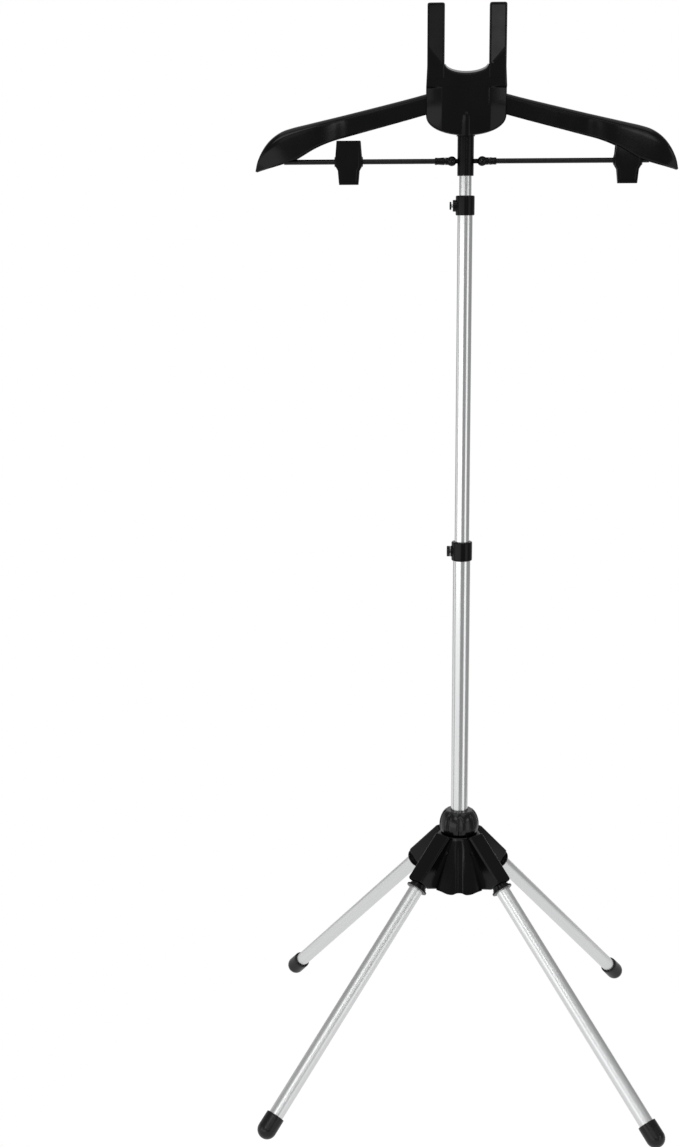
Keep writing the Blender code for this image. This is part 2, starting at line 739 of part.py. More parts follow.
def make_head_rear():
    bore = TOP_TUBE["radius"] + GAP
    roof = TOP_TUBE["top"] + GAP
    stem = [
        (0, roof + 4), (STEM_RADIUS - 0.1, roof + 4), (STEM_RADIUS - 0.1, SHIELD_LOW - 0.6),
        (STEM_RADIUS, SHIELD_LOW - 0.8), (STEM_RADIUS, STEM_LOW + 0.8),
        (STEM_RADIUS - 0.8, STEM_LOW), (bore, STEM_LOW), (bore, roof), (0, roof),
    ]
    head = turned("head_rear", stem, black_plastic("head_rear"), steps=POLE_STEPS)
    cut(head, box("stem_front", (-20, -20, SHIELD_LOW - 0.5), (20, HEAD_BACK + GAP, 1060)))
    block = box("head_block", (-14.5, HEAD_BACK + GAP, SHIELD_LOW - 0.3), (14.5, 13.3, 1087))
    cut(block, box("block_relief_left", (-30, -20, 1000), (-9.5, 30, 1040)))
    cut(block, box("block_relief_right", (9.5, -20, 1000), (30, 30, 1040)))
    rear = [
        (-8.0, 1037.7), (8.0, 1037.7), (24, 1047), (36, 1057), (38, 1066), (36, 1080), (30, 1088),
        (-30, 1088), (-36, 1080), (-38, 1066), (-36, 1057), (-24, 1047),
    ]
    rear_plate = stand_plate("rear_plate", rear, REAR_PLATE_FRONT, REAR_PLATE_BACK)
    bevel(rear_plate, 0.9, 1, 50)
    join(head, block, rear_plate, stem_tongue("left"), stem_tongue("right"))
    for side, sign in SIDES.items():
        cut(head, across("rear_pin_hole_" + side, ARM_PIN_RADIUS + GAP, 5, 30,
                         sign * ARM_PIVOT_X, ARM_PIVOT_HEIGHT))
        cut(head, across("tongue_hole_" + side, 1.3, -5, 5, sign * BALL_REACH[side], ROD_HEIGHT,
                         steps=12))
    for level, height in SCREW_HEIGHTS.items():
        cut(head, across("rear_screw_hole_" + level, 1.9, -12, 30, 0, height),
            across("rear_screw_sink_" + level, 3.5, 14.05, 30, 0, height))
        profile = [
            (0, 15.6), (2.4, 15.6), (3.2, 15.2), (3.2, 14.3), (1.6, 14.3), (1.6, -12.0), (0, -12.0),
        ]
        screw = turned("head_screw_" + level, profile, steel("head_screw_" + level), steps=16,
                       spot=(0, 0, height), turn=ALONG_Y)
        for turn in (0, 90):
            cut(screw, box("screw_slot_%s_%d" % (level, turn), (-2.0, 14.9, -0.4), (2.0, 17, 0.4),
                           spot=(0, 0, height), turn=spin(turn, "Y")))


# Arm sections: the top edge and the bottom edge as (reach, height), then the front and back Y
ARM_SECTIONS = [
    ((30, 1076.5), (30, 1056.2), -6.9, 12.0),
    ((60, 1068.6), (60, 1048.0), -6.9, 12.0),
    ((105, 1057.8), (105, 1036.2), -6.9, 12.0),
    ((124, 1053.3), (124, 1031.2), -7.6, 12.2),
    ((138, 1050.0), (137, 1027.8), -10.2, 12.7),
    ((152, 1046.8), (149, 1023.6), -11.9, 13.4),
    ((166, 1043.6), (160, 1018.6), -12.2, 13.8),
    ((180, 1040.4), (171, 1012.2), -12.2, 14.0),
    ((192, 1036.4), (180, 1007.2), -12.2, 13.8),
    ((203, 1029.0), (190, 1004.4), -11.8, 13.0),
    ((211.5, 1018.8), (200, 1001.4), -10.6, 11.4),
    ((217.4, 1007.0), (210, 998.4), -8.0, 8.4),
    ((220, 996.4), (218.6, 995.4), -3.4, 3.6),
]


def arm_loop(section, sign, inset=0.0):
    """A cross-section of an arm: straight walls under an arch. An inset gives the hollow, which
    runs out through the open underside."""
    (top_x, top_z), (low_x, low_z), front, back = section
    length = math.hypot(top_x - low_x, top_z - low_z)
    up = ((top_x - low_x) / length, (top_z - low_z) / length)
    start = -12.0 if inset else 0.0
    shift = 0.9 if inset else 0.0  # keeps the hollow's edges off the outer shell's corners
    crown = length - inset
    spring_line = 0.62 * length
    middle = (front + back) / 2
    half = (back - front) / 2 - inset
    outline = [(-half, start), (-half, spring_line)]
    for degrees in (150, 120, 90, 60, 30):
        angle = math.radians(degrees)
        outline.append((half * math.cos(angle),
                        spring_line + (crown - spring_line) * math.sin(angle)))
    outline += [(half, spring_line), (half, start)]
    return [
        (sign * (low_x + up[0] * lift + shift), middle + side, low_z + up[1] * lift)
        for side, lift in outline
    ]


def make_arm(side):
    sign = SIDES[side]
    name = side + "_arm"
    arm = loft(name, [arm_loop(section, sign) for section in ARM_SECTIONS], black_plastic(name))
    hollow_sections = [((44, 1072.7), (44, 1052.5), -6.9, 12.0)] + ARM_SECTIONS[1:-1]
    cut(arm, loft(name + "_hollow", [arm_loop(s, sign, 2.0) for s in hollow_sections]))
    pivot = (sign * ARM_PIVOT_X, ARM_PIVOT_HEIGHT)
    join(arm, across(name + "_lobe", ARM_LOBE_RADIUS, -6.3, 11.3, *pivot, steps=24))
    rib_low, rib_high = sorted((sign * 186.0, sign * 189.0))
    rib = box(name + "_rib", (rib_low, -10.9, 1005.6), (rib_high, 12.6, 1032.0))
    cut(rib, box(name + "_snap", (rib_low - 2, -2.8, 990), (rib_high + 2, 2.8, ROD_HEIGHT)),
        cylinder(name + "_snap_seat", ROD_RADIUS + GAP, rib_low - 2, rib_high + 2, steps=16,
                 spot=(0, 0, ROD_HEIGHT), turn=ALONG_X))
    join(arm, rib)
    cut(arm, across(name + "_eye", ARM_PIN_RADIUS + GAP, -20, 30, *pivot))
    pin = [
        (0, 17.2), (3.6, 17.2), (4.6, 16.4), (4.6, 15.9), (ARM_PIN_RADIUS, 15.9),
        (ARM_PIN_RADIUS, -11.2), (0, -11.2),
    ]
    turned(name + "_pin", pin, steel(name + "_pin"), steps=16, spot=(pivot[0], 0, pivot[1]),
           turn=ALONG_Y)


def make_rod(side):
    reach = BALL_REACH[side]
    outwards = ALONG_X if side == "right" else ALONG_MINUS_X
    frame = empty(side + "_rod_axis", (SIDES[side] * reach, 0, ROD_HEIGHT))
    name = side + "_rod"
    socket = ROD_RADIUS + GAP
    ball = [(0, 4.2), (socket, 4.2), (socket, 7.0), (3.8, 7.0)]
    ball += arc((0, 0), BALL_RADIUS, 40, -90, 6)
    ball[-1] = (0, -BALL_RADIUS)
    joint = turned(name + "_ball", ball, black_plastic(name + "_ball"), parent=frame,
                   turn=outwards)
    inner, outer = (-8.0, 2.9) if side == "right" else (-2.9, 8.0)
    cut(joint,
        box(name + "_ball_slot", (inner, -1.8, -8), (outer, 1.8, 8), parent=frame),
        cylinder(name + "_ball_pin_hole", 1.3, -8, 8, steps=12, parent=frame, turn=ALONG_Y))
    cylinder(name + "_pin", 1.0, -4.4, 4.4, steel(name + "_pin"), steps=12, parent=frame,
             turn=ALONG_Y)
    length = ROD_END - reach
    rod = [(0, length), (ROD_RADIUS - 0.7, length), (ROD_RADIUS, length - 0.7), (ROD_RADIUS, 4.5),
           (0, 4.5)]
    turned(name, rod, finish(name + "_painted_steel", INK, 0.35), steps=16, parent=frame,
           turn=outwards)
    ring(name + "_sleeve", 3.4, socket, 7.3, SLEEVE_END - reach, black_plastic(name + "_sleeve"),
         chamfer=0.4, parent=frame, turn=outwards)


# Clips: a jaw's front view, as (half width, height above the rod), and its side view, as
# (distance from the rod's axis, height above the rod)
CLIP_FRONT = [
    (12.5, CLIP_TOP), (13.8, 4.0), (13.8, -4.0), (11.3, -9.0), (10.2, -CLIP_LOW),
]
CLIP_SIDE = [
    (7.3, CLIP_TOP), (7.9, 6.0), (7.7, -5.0), (4.6, -14.5), (3.2, -CLIP_LOW),
    (0.5, -CLIP_LOW), (0.6, -20.0), (2.2, -14.5), (5.6, -5.5), (5.6, 6.0), (5.1, CLIP_TOP),
]


def make_jaw(name, centre, facing, knuckles):
    """One jaw of a clip. facing is -1 at the front and 1 at the back; knuckles gives the inner
    and outer distance of its two bearings from the clip's middle."""
    outline = CLIP_FRONT + [(-x, height) for x, height in reversed(CLIP_FRONT)]
    profile = [(facing * depth, height) for depth, height in CLIP_SIDE]
    turn = spin(90, "Z") @ IN_XZ
    spot = (centre, 0, ROD_HEIGHT)
    jaw = plate(name, profile, -20, 20, black_plastic(name), spot=spot, turn=turn)
    keep(jaw, stand_plate(name + "_view", outline, -20, 20, spot=spot))
    near, far = knuckles
    for sign in (-1, 1):
        low, high = sorted((sign * near, sign * far))
        tag = "%s_%d" % (name, sign)
        depth = sorted((facing * 1.5, facing * 6.4))
        knuckle = cylinder(tag + "_knuckle", 5.2, low, high, spot=spot, turn=ALONG_X)
        web = box(tag + "_web", (low + 0.01, depth[0], -3.6), (high - 0.01, depth[1], 3.6), spot=spot)
        join(jaw, knuckle, web)
    cut(jaw, cylinder(name + "_bore", 4.0, -30, 30, spot=spot, turn=ALONG_X))


def make_spring(name, centre):
    """A torsion spring around the bush, with one leg along the back jaw's handle."""
    turns, wire, radius, half = 4, 0.42, 4.65, 3.4
    per_turn = 8
    points = []
    for i in range(turns * per_turn + 1):
        angle = 2 * math.pi * i / per_turn
        points.append((-half + 2 * half * i / (turns * per_turn), radius * math.cos(angle),
                       radius * math.sin(angle)))
    points += [(half + 0.2, radius, 3.5), (half + 0.2, radius + 0.1, 12.0)]
    curve = bpy.data.curves.new(name, "CURVE")
    curve.dimensions = "3D"
    curve.bevel_depth = wire * MM
    curve.bevel_resolution = 0
    curve.use_fill_caps = True
    spline = curve.splines.new("POLY")
    spline.points.add(len(points) - 1)
    for point, place in zip(spline.points, points):
        point.co = (*[value * MM for value in place], 1)
    mesh = mesh_of_curve(curve, name)
    add_object(name, mesh, steel(name), spot=(centre, 0, ROD_HEIGHT))


def make_clip(side):
    centre = SIDES[side] * CLIP_REACH[side]
    name = side + "_clip"
    ring(name + "_bush", 3.7, ROD_RADIUS + GAP, -13.0, 13.0, black_plastic(name + "_bush"),
         spot=(centre, 0, ROD_HEIGHT), turn=ALONG_X)
    make_jaw(name + "_back_jaw", centre, 1, (10.1, CLIP_HALF_WIDTH))
    make_jaw(name + "_front_jaw", centre, -1, (4.6, 9.8))
    make_spring(name + "_spring", centre)


SIDES = {"left": -1, "right": 1}

leg_frames = {
    name: empty(
        "leg_pivot_" + name,
        (LEG_PIVOT_REACH * math.cos(math.radians(azimuth)),
         LEG_PIVOT_REACH * math.sin(math.radians(azimuth)), LEG_PIVOT_HEIGHT),
        spin(azimuth, "Z") @ spin(LEG_SLOPE, "Y"),
    )
    for name, azimuth in LEG_AZIMUTHS.items()
}

make_hub()
make_knob()
for leg_name in LEG_AZIMUTHS:
    make_leg(leg_name)
make_pole()
make_head_front()
make_head_rear()
for side_name in SIDES:
    make_arm(side_name)
    make_rod(side_name)
    make_clip(side_name)
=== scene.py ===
import math

import bmesh
import bpy
from mathutils import Matrix, Vector


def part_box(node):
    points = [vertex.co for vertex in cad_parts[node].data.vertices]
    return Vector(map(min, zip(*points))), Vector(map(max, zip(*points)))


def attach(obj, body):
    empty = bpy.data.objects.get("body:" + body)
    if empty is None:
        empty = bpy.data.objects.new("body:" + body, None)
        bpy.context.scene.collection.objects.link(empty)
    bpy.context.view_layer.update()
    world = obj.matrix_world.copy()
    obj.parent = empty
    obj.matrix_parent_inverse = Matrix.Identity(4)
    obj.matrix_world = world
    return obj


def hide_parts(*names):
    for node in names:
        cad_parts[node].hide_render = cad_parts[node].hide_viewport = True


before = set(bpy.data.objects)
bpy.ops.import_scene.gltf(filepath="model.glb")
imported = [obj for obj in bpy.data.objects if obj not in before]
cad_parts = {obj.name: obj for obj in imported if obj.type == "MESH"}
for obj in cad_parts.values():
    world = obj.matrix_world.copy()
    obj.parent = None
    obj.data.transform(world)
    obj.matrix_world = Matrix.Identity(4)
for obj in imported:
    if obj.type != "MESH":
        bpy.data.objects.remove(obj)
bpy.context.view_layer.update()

# Looks of the folding hanger stand: finer meshes for the visible pieces, their materials, the
# studio and the camera. Lengths are in millimetres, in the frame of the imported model: +Z is up,
# -Y is the front, and the origin is on the ground under the pole.
MM = 0.001
GAP = 0.3  # clearance between touching pieces

# Camera: it stands in front of the stand, a little to the left, and looks slightly down
CAMERA_PLACE = (-38.5, -1838.2, 948.2)
CAMERA_YAW = 2.97  # degrees, to the left of straight ahead
CAMERA_TILT = -11.75
CAMERA_ROLL = -0.29
CAMERA_LENS = 53.66  # mm, on a 36 mm sensor along the picture's long side

# Legs
FOOT_REACH = 286.4
FOOT_HEIGHT = 9.9
FOOT_RADIUS = 10.3
LEG_RADIUS = 8.0
LEG_BORE = 7.0
LEG_HEEL = 5.0  # how far a leg tube reaches past its pivot
LEG_AZIMUTHS = {"front_right": -45, "back_right": 45, "back_left": 135, "front_left": -135}
PIN_RADIUS = 2.0
PIVOT_REACH = 30.0
PIVOT_HEIGHT = 252.8
CHANNEL_START = 12.0
CHANNEL_END = 46.0
CHANNEL_ROOF = 11.0
CHANNEL_ROOM_ROOF = 9.8
CHANNEL_HALF_WIDTH = 10.5
CHANNEL_WALL = 1.5
LEG_RUN = FOOT_REACH - PIVOT_REACH
LEG_DROP = PIVOT_HEIGHT - FOOT_HEIGHT
LEG_LENGTH = math.hypot(LEG_RUN, LEG_DROP)
LEG_SLOPE = math.degrees(math.atan2(LEG_DROP, LEG_RUN))

# Hub
DECK_TOP = 268.4
SKIRT_TOP_RADIUS = 22.5
SKIRT_LOW_RADIUS = 46.0
SKIRT_LOW = 210.5
SKIRT_WALL = 2.0
BOSS_RADIUS = 13.2
BOSS_LOW = 215.0
KNOB_LOBES = 9
LOBE_POINTS = 22
KNOB_TURN = 11.5  # degrees, which puts a groove at the front
COLLET_RADIUS = 12.0
COLLET_TOP = 285.0

# Head
SHIELD_HALF_WIDTH = 41.5
SHIELD_LOW = 1031.0
SHIELD_SIDE_LOW = 1052.0
SHIELD_FLAT = {-1: 26.0, 1: 23.6}  # how far the shield's flat middle reaches to each side
CREASE_HEIGHT = 1079.0
CREASE_HALF = 0.9  # half of the height over which the crease steps forward
HEAD_BACK = -7.5
CREST_DEPTH = 18.5  # how far the shield's middle stands forward at its fullest
CREST_RISE = 32.0  # and how far above its lower edge that is
LOW_DEPTH = 12.4
SIDE_DROP = 7.4
BAND_FACE = -18.7
PRONG_FACE = -19.2
SADDLE_HEIGHT = 1093.0
SADDLE_RISE = 2.5
PRONG_START = 1088.0  # inside the band
PRONG_ROOT = 1100.0
PRONG_TOP = 1162.0
PRONG_OUTER = 40.5
PRONG_INNER = 22.75
STEM_RADIUS = 8.6
STEM_LOW = 990.4
ARM_PIVOT_X = 28.0
ARM_PIVOT_HEIGHT = 1066.5
SCREW_HEIGHTS = {"lower": 1046.0, "upper": 1080.0}
HEAD_SCREW_HOLE = 1.9
ARM_PIN_HOLE = 3.3
LOCK_SCREW_HOLE = 2.3

# Trouser rods and clips
ROD_HEIGHT = 1005.5
ROD_RADIUS = 2.5
ROD_END = 190.0
BALL_REACH = {"left": 14.3, "right": 17.2}
CLIP_REACH = {"left": 122.0, "right": 168.0}
CLIP_HALF_WIDTH = 14.8
SIDES = {"left": -1, "right": 1}

# The floor lies under the feet of the folded legs, which hang straight down
FLOOR_HEIGHT = PIVOT_HEIGHT - LEG_LENGTH - FOOT_RADIUS - 1.0

ROUND = 64  # facets round a tube
SMALL_ROUND = 40
CORNER = 5  # facets on a rounded corner


# ---------------------------------------------------------------- shapes

def spin(degrees, axis):
    return Matrix.Rotation(math.radians(degrees), 4, axis)


ALONG_X = spin(90, "Y")
ALONG_MINUS_X = spin(-90, "Y")
ALONG_Y = spin(-90, "X")
IN_XZ = spin(90, "X")


def at(spot, turn=None):
    """A place in the frame: a spot in millimetres and a turn."""
    return Matrix.Translation([value * MM for value in spot]) @ (turn or Matrix())


def rounded(points, closed=True):
    """An outline of (x, y, radius) corners, with each corner rounded to its radius."""
    outline = []
    count = len(points)
    for i, (x, y, radius) in enumerate(points):
        here = Vector((x, y))
        if not radius or (not closed and i in (0, count - 1)):
            outline.append((x, y))
            continue
        before = Vector(points[i - 1][:2]) - here
        after = Vector(points[(i + 1) % count][:2]) - here
        run = radius / math.tan(before.angle(after) / 2)
        run = min(run, 0.48 * before.length, 0.48 * after.length)
        start = here + before.normalized() * run
        end = here + after.normalized() * run
        for k in range(CORNER + 1):
            share = k / CORNER
            point = start * (1 - share) ** 2 + here * 2 * share * (1 - share) + end * share ** 2
            outline.append(tuple(point))
    return outline


def smooth_rows(rows, steps):
    """More rows between each pair of rows of numbers, on a smooth curve through them all."""
    made = []
    last = len(rows) - 1
    for i in range(last):
        neighbours = list(zip(rows[max(i - 1, 0)], rows[i], rows[i + 1], rows[min(i + 2, last)]))
        for step in range(steps):
            t = step / steps
            made.append([
                0.5 * (2 * b + (c - a) * t + (2 * a - 5 * b + 4 * c - d) * t ** 2
                       + (3 * b - a - 3 * c + d) * t ** 3)
                for a, b, c, d in neighbours
            ])
    made.append(list(rows[last]))
    return made


def arc(centre, radius, start, end, count):
    points = []
    for i in range(count + 1):
        angle = math.radians(start + (end - start) * i / count)
        points.append((centre[0] + radius * math.cos(angle), centre[1] + radius * math.sin(angle)))
    return points


def link(thing, place=None):
    """Put an object in the scene at a place."""
    thing.matrix_world = place or Matrix()
    bpy.context.scene.collection.objects.link(thing)
    return thing


def applied_mesh(thing):
    """A new mesh of an object as its modifiers make it."""
    graph = bpy.context.evaluated_depsgraph_get()
    return bpy.data.meshes.new_from_object(thing.evaluated_get(graph))


def solid(name, bm, place=None):
    """An object from a bmesh in millimetres. It isn't a piece until it is dressed."""
    bmesh.ops.remove_doubles(bm, verts=bm.verts, dist=0.0005)
    bmesh.ops.recalc_face_normals(bm, faces=bm.faces)
    bmesh.ops.scale(bm, vec=(MM, MM, MM), verts=bm.verts)
    mesh = bpy.data.meshes.new(name)
    bm.to_mesh(mesh)
    bm.free()
    return link(bpy.data.objects.new(name, mesh), place)


def skin(bm, rows, closed_rows=True, ring=True):
    """Faces between rows of vertices; ring joins the last row to the first."""
    pairs = list(zip(rows, rows[1:]))
    if ring:
        pairs.append((rows[-1], rows[0]))
    count = len(rows[0])
    for row, following in pairs:
        for i in range(count if closed_rows else count - 1):
            j = (i + 1) % count
            bm.faces.new((row[i], row[j], following[j], following[i]))


def loft(name, loops, place=None):
    """Skin a row of loops with the same number of points, and close both ends."""
    bm = bmesh.new()
    rows = [[bm.verts.new(point) for point in loop] for loop in loops]
    skin(bm, rows, ring=False)
    bm.faces.new(rows[0])
    bm.faces.new(rows[-1])
    return solid(name, bm, place)


def turned(name, profile, steps=ROUND, place=None):
    """Revolve (radius, height) points about Z. A profile that stays off the axis is a ring."""
    bm = bmesh.new()
    hollow = min(radius for radius, _ in profile) > 0
    rows = []
    for radius, height in profile:
        row = []
        for i in range(steps):
            angle = 2 * math.pi * i / steps
            row.append(bm.verts.new((radius * math.cos(angle), radius * math.sin(angle), height)))
        rows.append(row)
    skin(bm, rows, ring=hollow)
    bmesh.ops.remove_doubles(bm, verts=bm.verts, dist=0.0005)
    bmesh.ops.dissolve_degenerate(bm, edges=bm.edges, dist=0.0005)
    return solid(name, bm, place)


def rod(name, radius, low, top, soften=0.0, steps=SMALL_ROUND, place=None):
    """A cylinder along Z with softened rims."""
    profile = rounded([(0, low, 0), (radius, low, soften), (radius, top, soften), (0, top, 0)],
                      closed=False)
    return turned(name, profile, steps, place)


def sleeve(name, outer, inner, low, top, soften, place=None):
    profile = rounded([(outer, low, soften), (outer, top, soften), (inner, top, soften),
                       (inner, low, soften)])
    return turned(name, profile, place=place)


def block(name, low, top, soften=0.0, place=None):
    """A box with rounded upright edges along Z."""
    half_x, half_y = (top[0] - low[0]) / 2, (top[1] - low[1]) / 2
    middle = ((top[0] + low[0]) / 2, (top[1] + low[1]) / 2)
    outline = frame_loop(half_x, half_y, soften)
    loops = [[(middle[0] + x, middle[1] + y, height) for x, y in outline]
             for height in (low[2], top[2])]
    return loft(name, loops, place)


def frame_loop(half_x, half_y, radius):
    corners = [(half_x, half_y), (-half_x, half_y), (-half_x, -half_y), (half_x, -half_y)]
    return rounded([(x, y, radius) for x, y in corners])


def inset_outline(outline, inset):
    """An outline moved inwards, which also suits outlines with inward corners."""
    count = len(outline)
    area = sum(outline[i - 1][0] * outline[i][1] - outline[i][0] * outline[i - 1][1]
               for i in range(count))
    inwards = 1 if area > 0 else -1
    made = []
    for i in range(count):
        before, here = Vector(outline[i - 1]), Vector(outline[i])
        after = Vector(outline[(i + 1) % count])
        first = (here - before).normalized().orthogonal() * inwards
        second = (after - here).normalized().orthogonal() * inwards
        made.append(tuple(here + (first + second) * inset / (1 + first.dot(second))))
    return made


def plate(name, outline, low, top, soften=0.0, place=None):
    """A flat outline in XY, extruded along Z, with softened rims."""
    levels = [(0.0, 0.0)]
    if soften:
        levels = [(soften * (1 - math.cos(math.radians(angle))),
                   soften * (1 - math.sin(math.radians(angle)))) for angle in (0, 25, 50, 70, 90)]
    loops = [(low + rise, inset) for rise, inset in levels]
    loops += [(top - rise, inset) for rise, inset in reversed(levels)]
    loops = [[(x, y, height) for x, y in inset_outline(outline, inset)] for height, inset in loops]
    return loft(name, loops, place)


def stand_plate(name, outline, front, back, soften):
    """An outline in (x, height), standing between two Y planes."""
    return plate(name, outline, -back, -front, soften, IN_XZ)


def across(name, radius, front, back, x, height, soften=0.0, steps=SMALL_ROUND):
    """A cylinder along Y between two Y planes."""
    return rod(name, radius, front, back, soften, steps, at((x, 0, height), ALONG_Y))


def combine(thing, *steps):
    """Apply boolean steps of (operation, tool) to a shape, and remove the tools."""
    tools = []
    for operation, tool in steps:
        change = thing.modifiers.new(tool.name, "BOOLEAN")
        change.operation = operation
        change.object = tool
        change.solver = "MANIFOLD"
        tools.append(tool)
    mesh = applied_mesh(thing)
    thing.modifiers.clear()
    thing.data = mesh
    for tool in tools:
        bpy.data.objects.remove(tool, do_unlink=True)
    return thing


def add(*tools):
    return [("UNION", tool) for tool in tools]


def cut(*tools):
    return [("DIFFERENCE", tool) for tool in tools]


def dress(thing, material, body, node, angle=34):
    """Make a shape a piece of the stand: its finish, its body, and the CAD node it replaces."""
    thing.data.materials.clear()
    thing.data.materials.append(material)
    thing.data.shade_smooth()
    thing.data.set_sharp_from_angle(angle=math.radians(angle))
    even = thing.modifiers.new("even_normals", "WEIGHTED_NORMAL")
    even.keep_sharp = True
    mesh = applied_mesh(thing)
    thing.modifiers.clear()
    thing.data = mesh
    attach(thing, body)
    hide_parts(node)
    return thing


# ---------------------------------------------------------------- materials

def new_material(name, shine, metallic=0.0):
    """A material, its node tree, its shader, and its object coordinates."""
    material = bpy.data.materials.new(name)
    material.use_nodes = True
    tree = material.node_tree
    shader = tree.nodes["Principled BSDF"]
    shader.inputs["Specular IOR Level"].default_value = shine
    shader.inputs["Metallic"].default_value = metallic
    where = tree.nodes.new("ShaderNodeTexCoord").outputs["Object"]
    return material, tree, shader, where


def noise(tree, where, scale, detail, stretch=(1, 1, 1)):
    mapping = tree.nodes.new("ShaderNodeMapping")
    mapping.inputs["Scale"].default_value = stretch
    tree.links.new(where, mapping.inputs["Vector"])
    texture = tree.nodes.new("ShaderNodeTexNoise")
    texture.inputs["Scale"].default_value = scale
    texture.inputs["Detail"].default_value = detail
    tree.links.new(mapping.outputs["Vector"], texture.inputs["Vector"])
    return texture.outputs["Fac"]


def spread(tree, value, low, high, from_low=0.3, from_high=0.7):
    """Map a value from one range to another."""
    step = tree.nodes.new("ShaderNodeMapRange")
    step.inputs["From Min"].default_value = from_low
    step.inputs["From Max"].default_value = from_high
    step.inputs["To Min"].default_value = low
    step.inputs["To Max"].default_value = high
    tree.links.new(value, step.inputs["Value"])
    return step.outputs["Result"]


def blend_colours(tree, value, first, second):
    ramp = tree.nodes.new("ShaderNodeValToRGB")
    ramp.color_ramp.elements[0].position = 0.3
    ramp.color_ramp.elements[1].position = 0.7
    ramp.color_ramp.elements[0].color = (*first, 1)
    ramp.color_ramp.elements[1].color = (*second, 1)
    tree.links.new(value, ramp.inputs["Fac"])
    return ramp.outputs["Color"]


def bumps(tree, shader, layers):
    """Stack bump layers of (height, strength, distance in millimetres)."""
    normal = None
    for height, strength, distance in layers:
        bump = tree.nodes.new("ShaderNodeBump")
        bump.inputs["Strength"].default_value = strength
        bump.inputs["Distance"].default_value = distance * MM
        tree.links.new(height, bump.inputs["Height"])
        if normal:
            tree.links.new(normal, bump.inputs["Normal"])
        normal = bump.outputs["Normal"]
    tree.links.new(normal, shader.inputs["Normal"])


def finish(name, shine, metallic, tint, dark, light, gloss, smooth, rough, *layers):
    """A finish driven by noises, each given as (scale, detail, stretch): tint runs from dark to
    light, gloss from smooth to rough, and each layer of bumps is (noise, strength, distance)."""
    material, tree, shader, where = new_material(name, shine, metallic)
    colour = blend_colours(tree, noise(tree, where, *tint), dark, light)
    tree.links.new(colour, shader.inputs["Base Color"])
    roughness = spread(tree, noise(tree, where, *gloss), smooth, rough)
    tree.links.new(roughness, shader.inputs["Roughness"])
    bumps(tree, shader, [(noise(tree, where, *grain), strength, distance)
                         for grain, strength, distance in layers])
    return material


def moulded_plastic(name, dark, light, roughness, shine, grain=0.1):
    """Injection-moulded plastic: slow gloss changes, a faint orange peel and a fine grain."""
    return finish(name, shine, 0.0, (28, 4, (1, 1, 0.5)), dark, light,
                  (60, 5), roughness - 0.03, roughness + 0.04,
                  ((420, 2), 0.14, 0.03), ((3600, 3), grain, 0.008))


def drawn_aluminium(name, roughness, drawn):
    """Drawn, satin-anodised tube: fine lines along it, which run in the object's own Z."""
    lines = (1500, 3, (1, 1, 0.008))
    return finish(name, 0.5, 1.0, lines, (0.76, 0.765, 0.77), (0.82, 0.825, 0.83),
                  (22, 4, (1, 1, 0.35)), roughness - 0.03, roughness + 0.03,
                  (lines, drawn, 0.012), ((2600, 2), 0.1, 0.006))


def plated_steel(name, dark, light, roughness):
    cloud = (160, 5)
    return finish(name, 0.5, 1.0, cloud, dark, light, cloud, roughness - 0.06, roughness + 0.1,
                  ((3000, 3), 0.2, 0.01))


NEAR_BLACK = ((0.003, 0.003, 0.003), (0.006, 0.006, 0.0065))
BLACK = moulded_plastic("moulded_black", (0.001, 0.001, 0.0011), (0.0022, 0.0022, 0.0023), 0.15,
                        0.19)
KNOB_BLACK = moulded_plastic("knob_black", (0.002, 0.002, 0.0022), (0.0038, 0.0038, 0.004), 0.17,
                             0.36, 0.16)
INNER = moulded_plastic("guide_black", (0.014, 0.014, 0.015), (0.024, 0.024, 0.026), 0.4, 0.4, 0.3)
ALUMINIUM = drawn_aluminium("drawn_aluminium", 0.18, 0.12)
LEG_ALUMINIUM = drawn_aluminium("leg_aluminium", 0.36, 0.07)
RUBBER = finish("foot_rubber", 0.34, 0.0, (90, 5), *NEAR_BLACK, (90, 5), 0.22, 0.34,
                ((2200, 4), 0.2, 0.015))
STEEL = plated_steel("plated_steel", (0.5, 0.51, 0.53), (0.64, 0.65, 0.66), 0.3)
DARK_STEEL = plated_steel("blackened_steel", (0.03, 0.03, 0.032), (0.06, 0.06, 0.063), 0.4)
# Black paint over drawn wire, with the wire's lines showing through
WIRE = finish("painted_wire", 0.3, 0.0, (50, 4), *NEAR_BLACK, (50, 4), 0.2, 0.3,
              ((900, 2, (1, 1, 0.02)), 0.08, 0.01))


# ---------------------------------------------------------------- base

def along_leg(distance, offset):
    slope = math.radians(LEG_SLOPE)
    reach = PIVOT_REACH + distance * math.cos(slope) + offset * math.sin(slope)
    height = PIVOT_HEIGHT - distance * math.sin(slope) + offset * math.cos(slope)
    return reach, height


def leg_pivot(azimuth):
    """The frame of a leg's pivot: X runs down the leg, and Y along the pin."""
    angle = math.radians(azimuth)
    spot = (PIVOT_REACH * math.cos(angle), PIVOT_REACH * math.sin(angle), PIVOT_HEIGHT)
    return at(spot, spin(azimuth, "Z") @ spin(LEG_SLOPE, "Y"))


def pivot_hole(name, azimuth):
    """A cutter for a leg's pivot pin."""
    return rod(name, PIN_RADIUS + GAP, -14, 14, place=leg_pivot(azimuth) @ ALONG_Y)


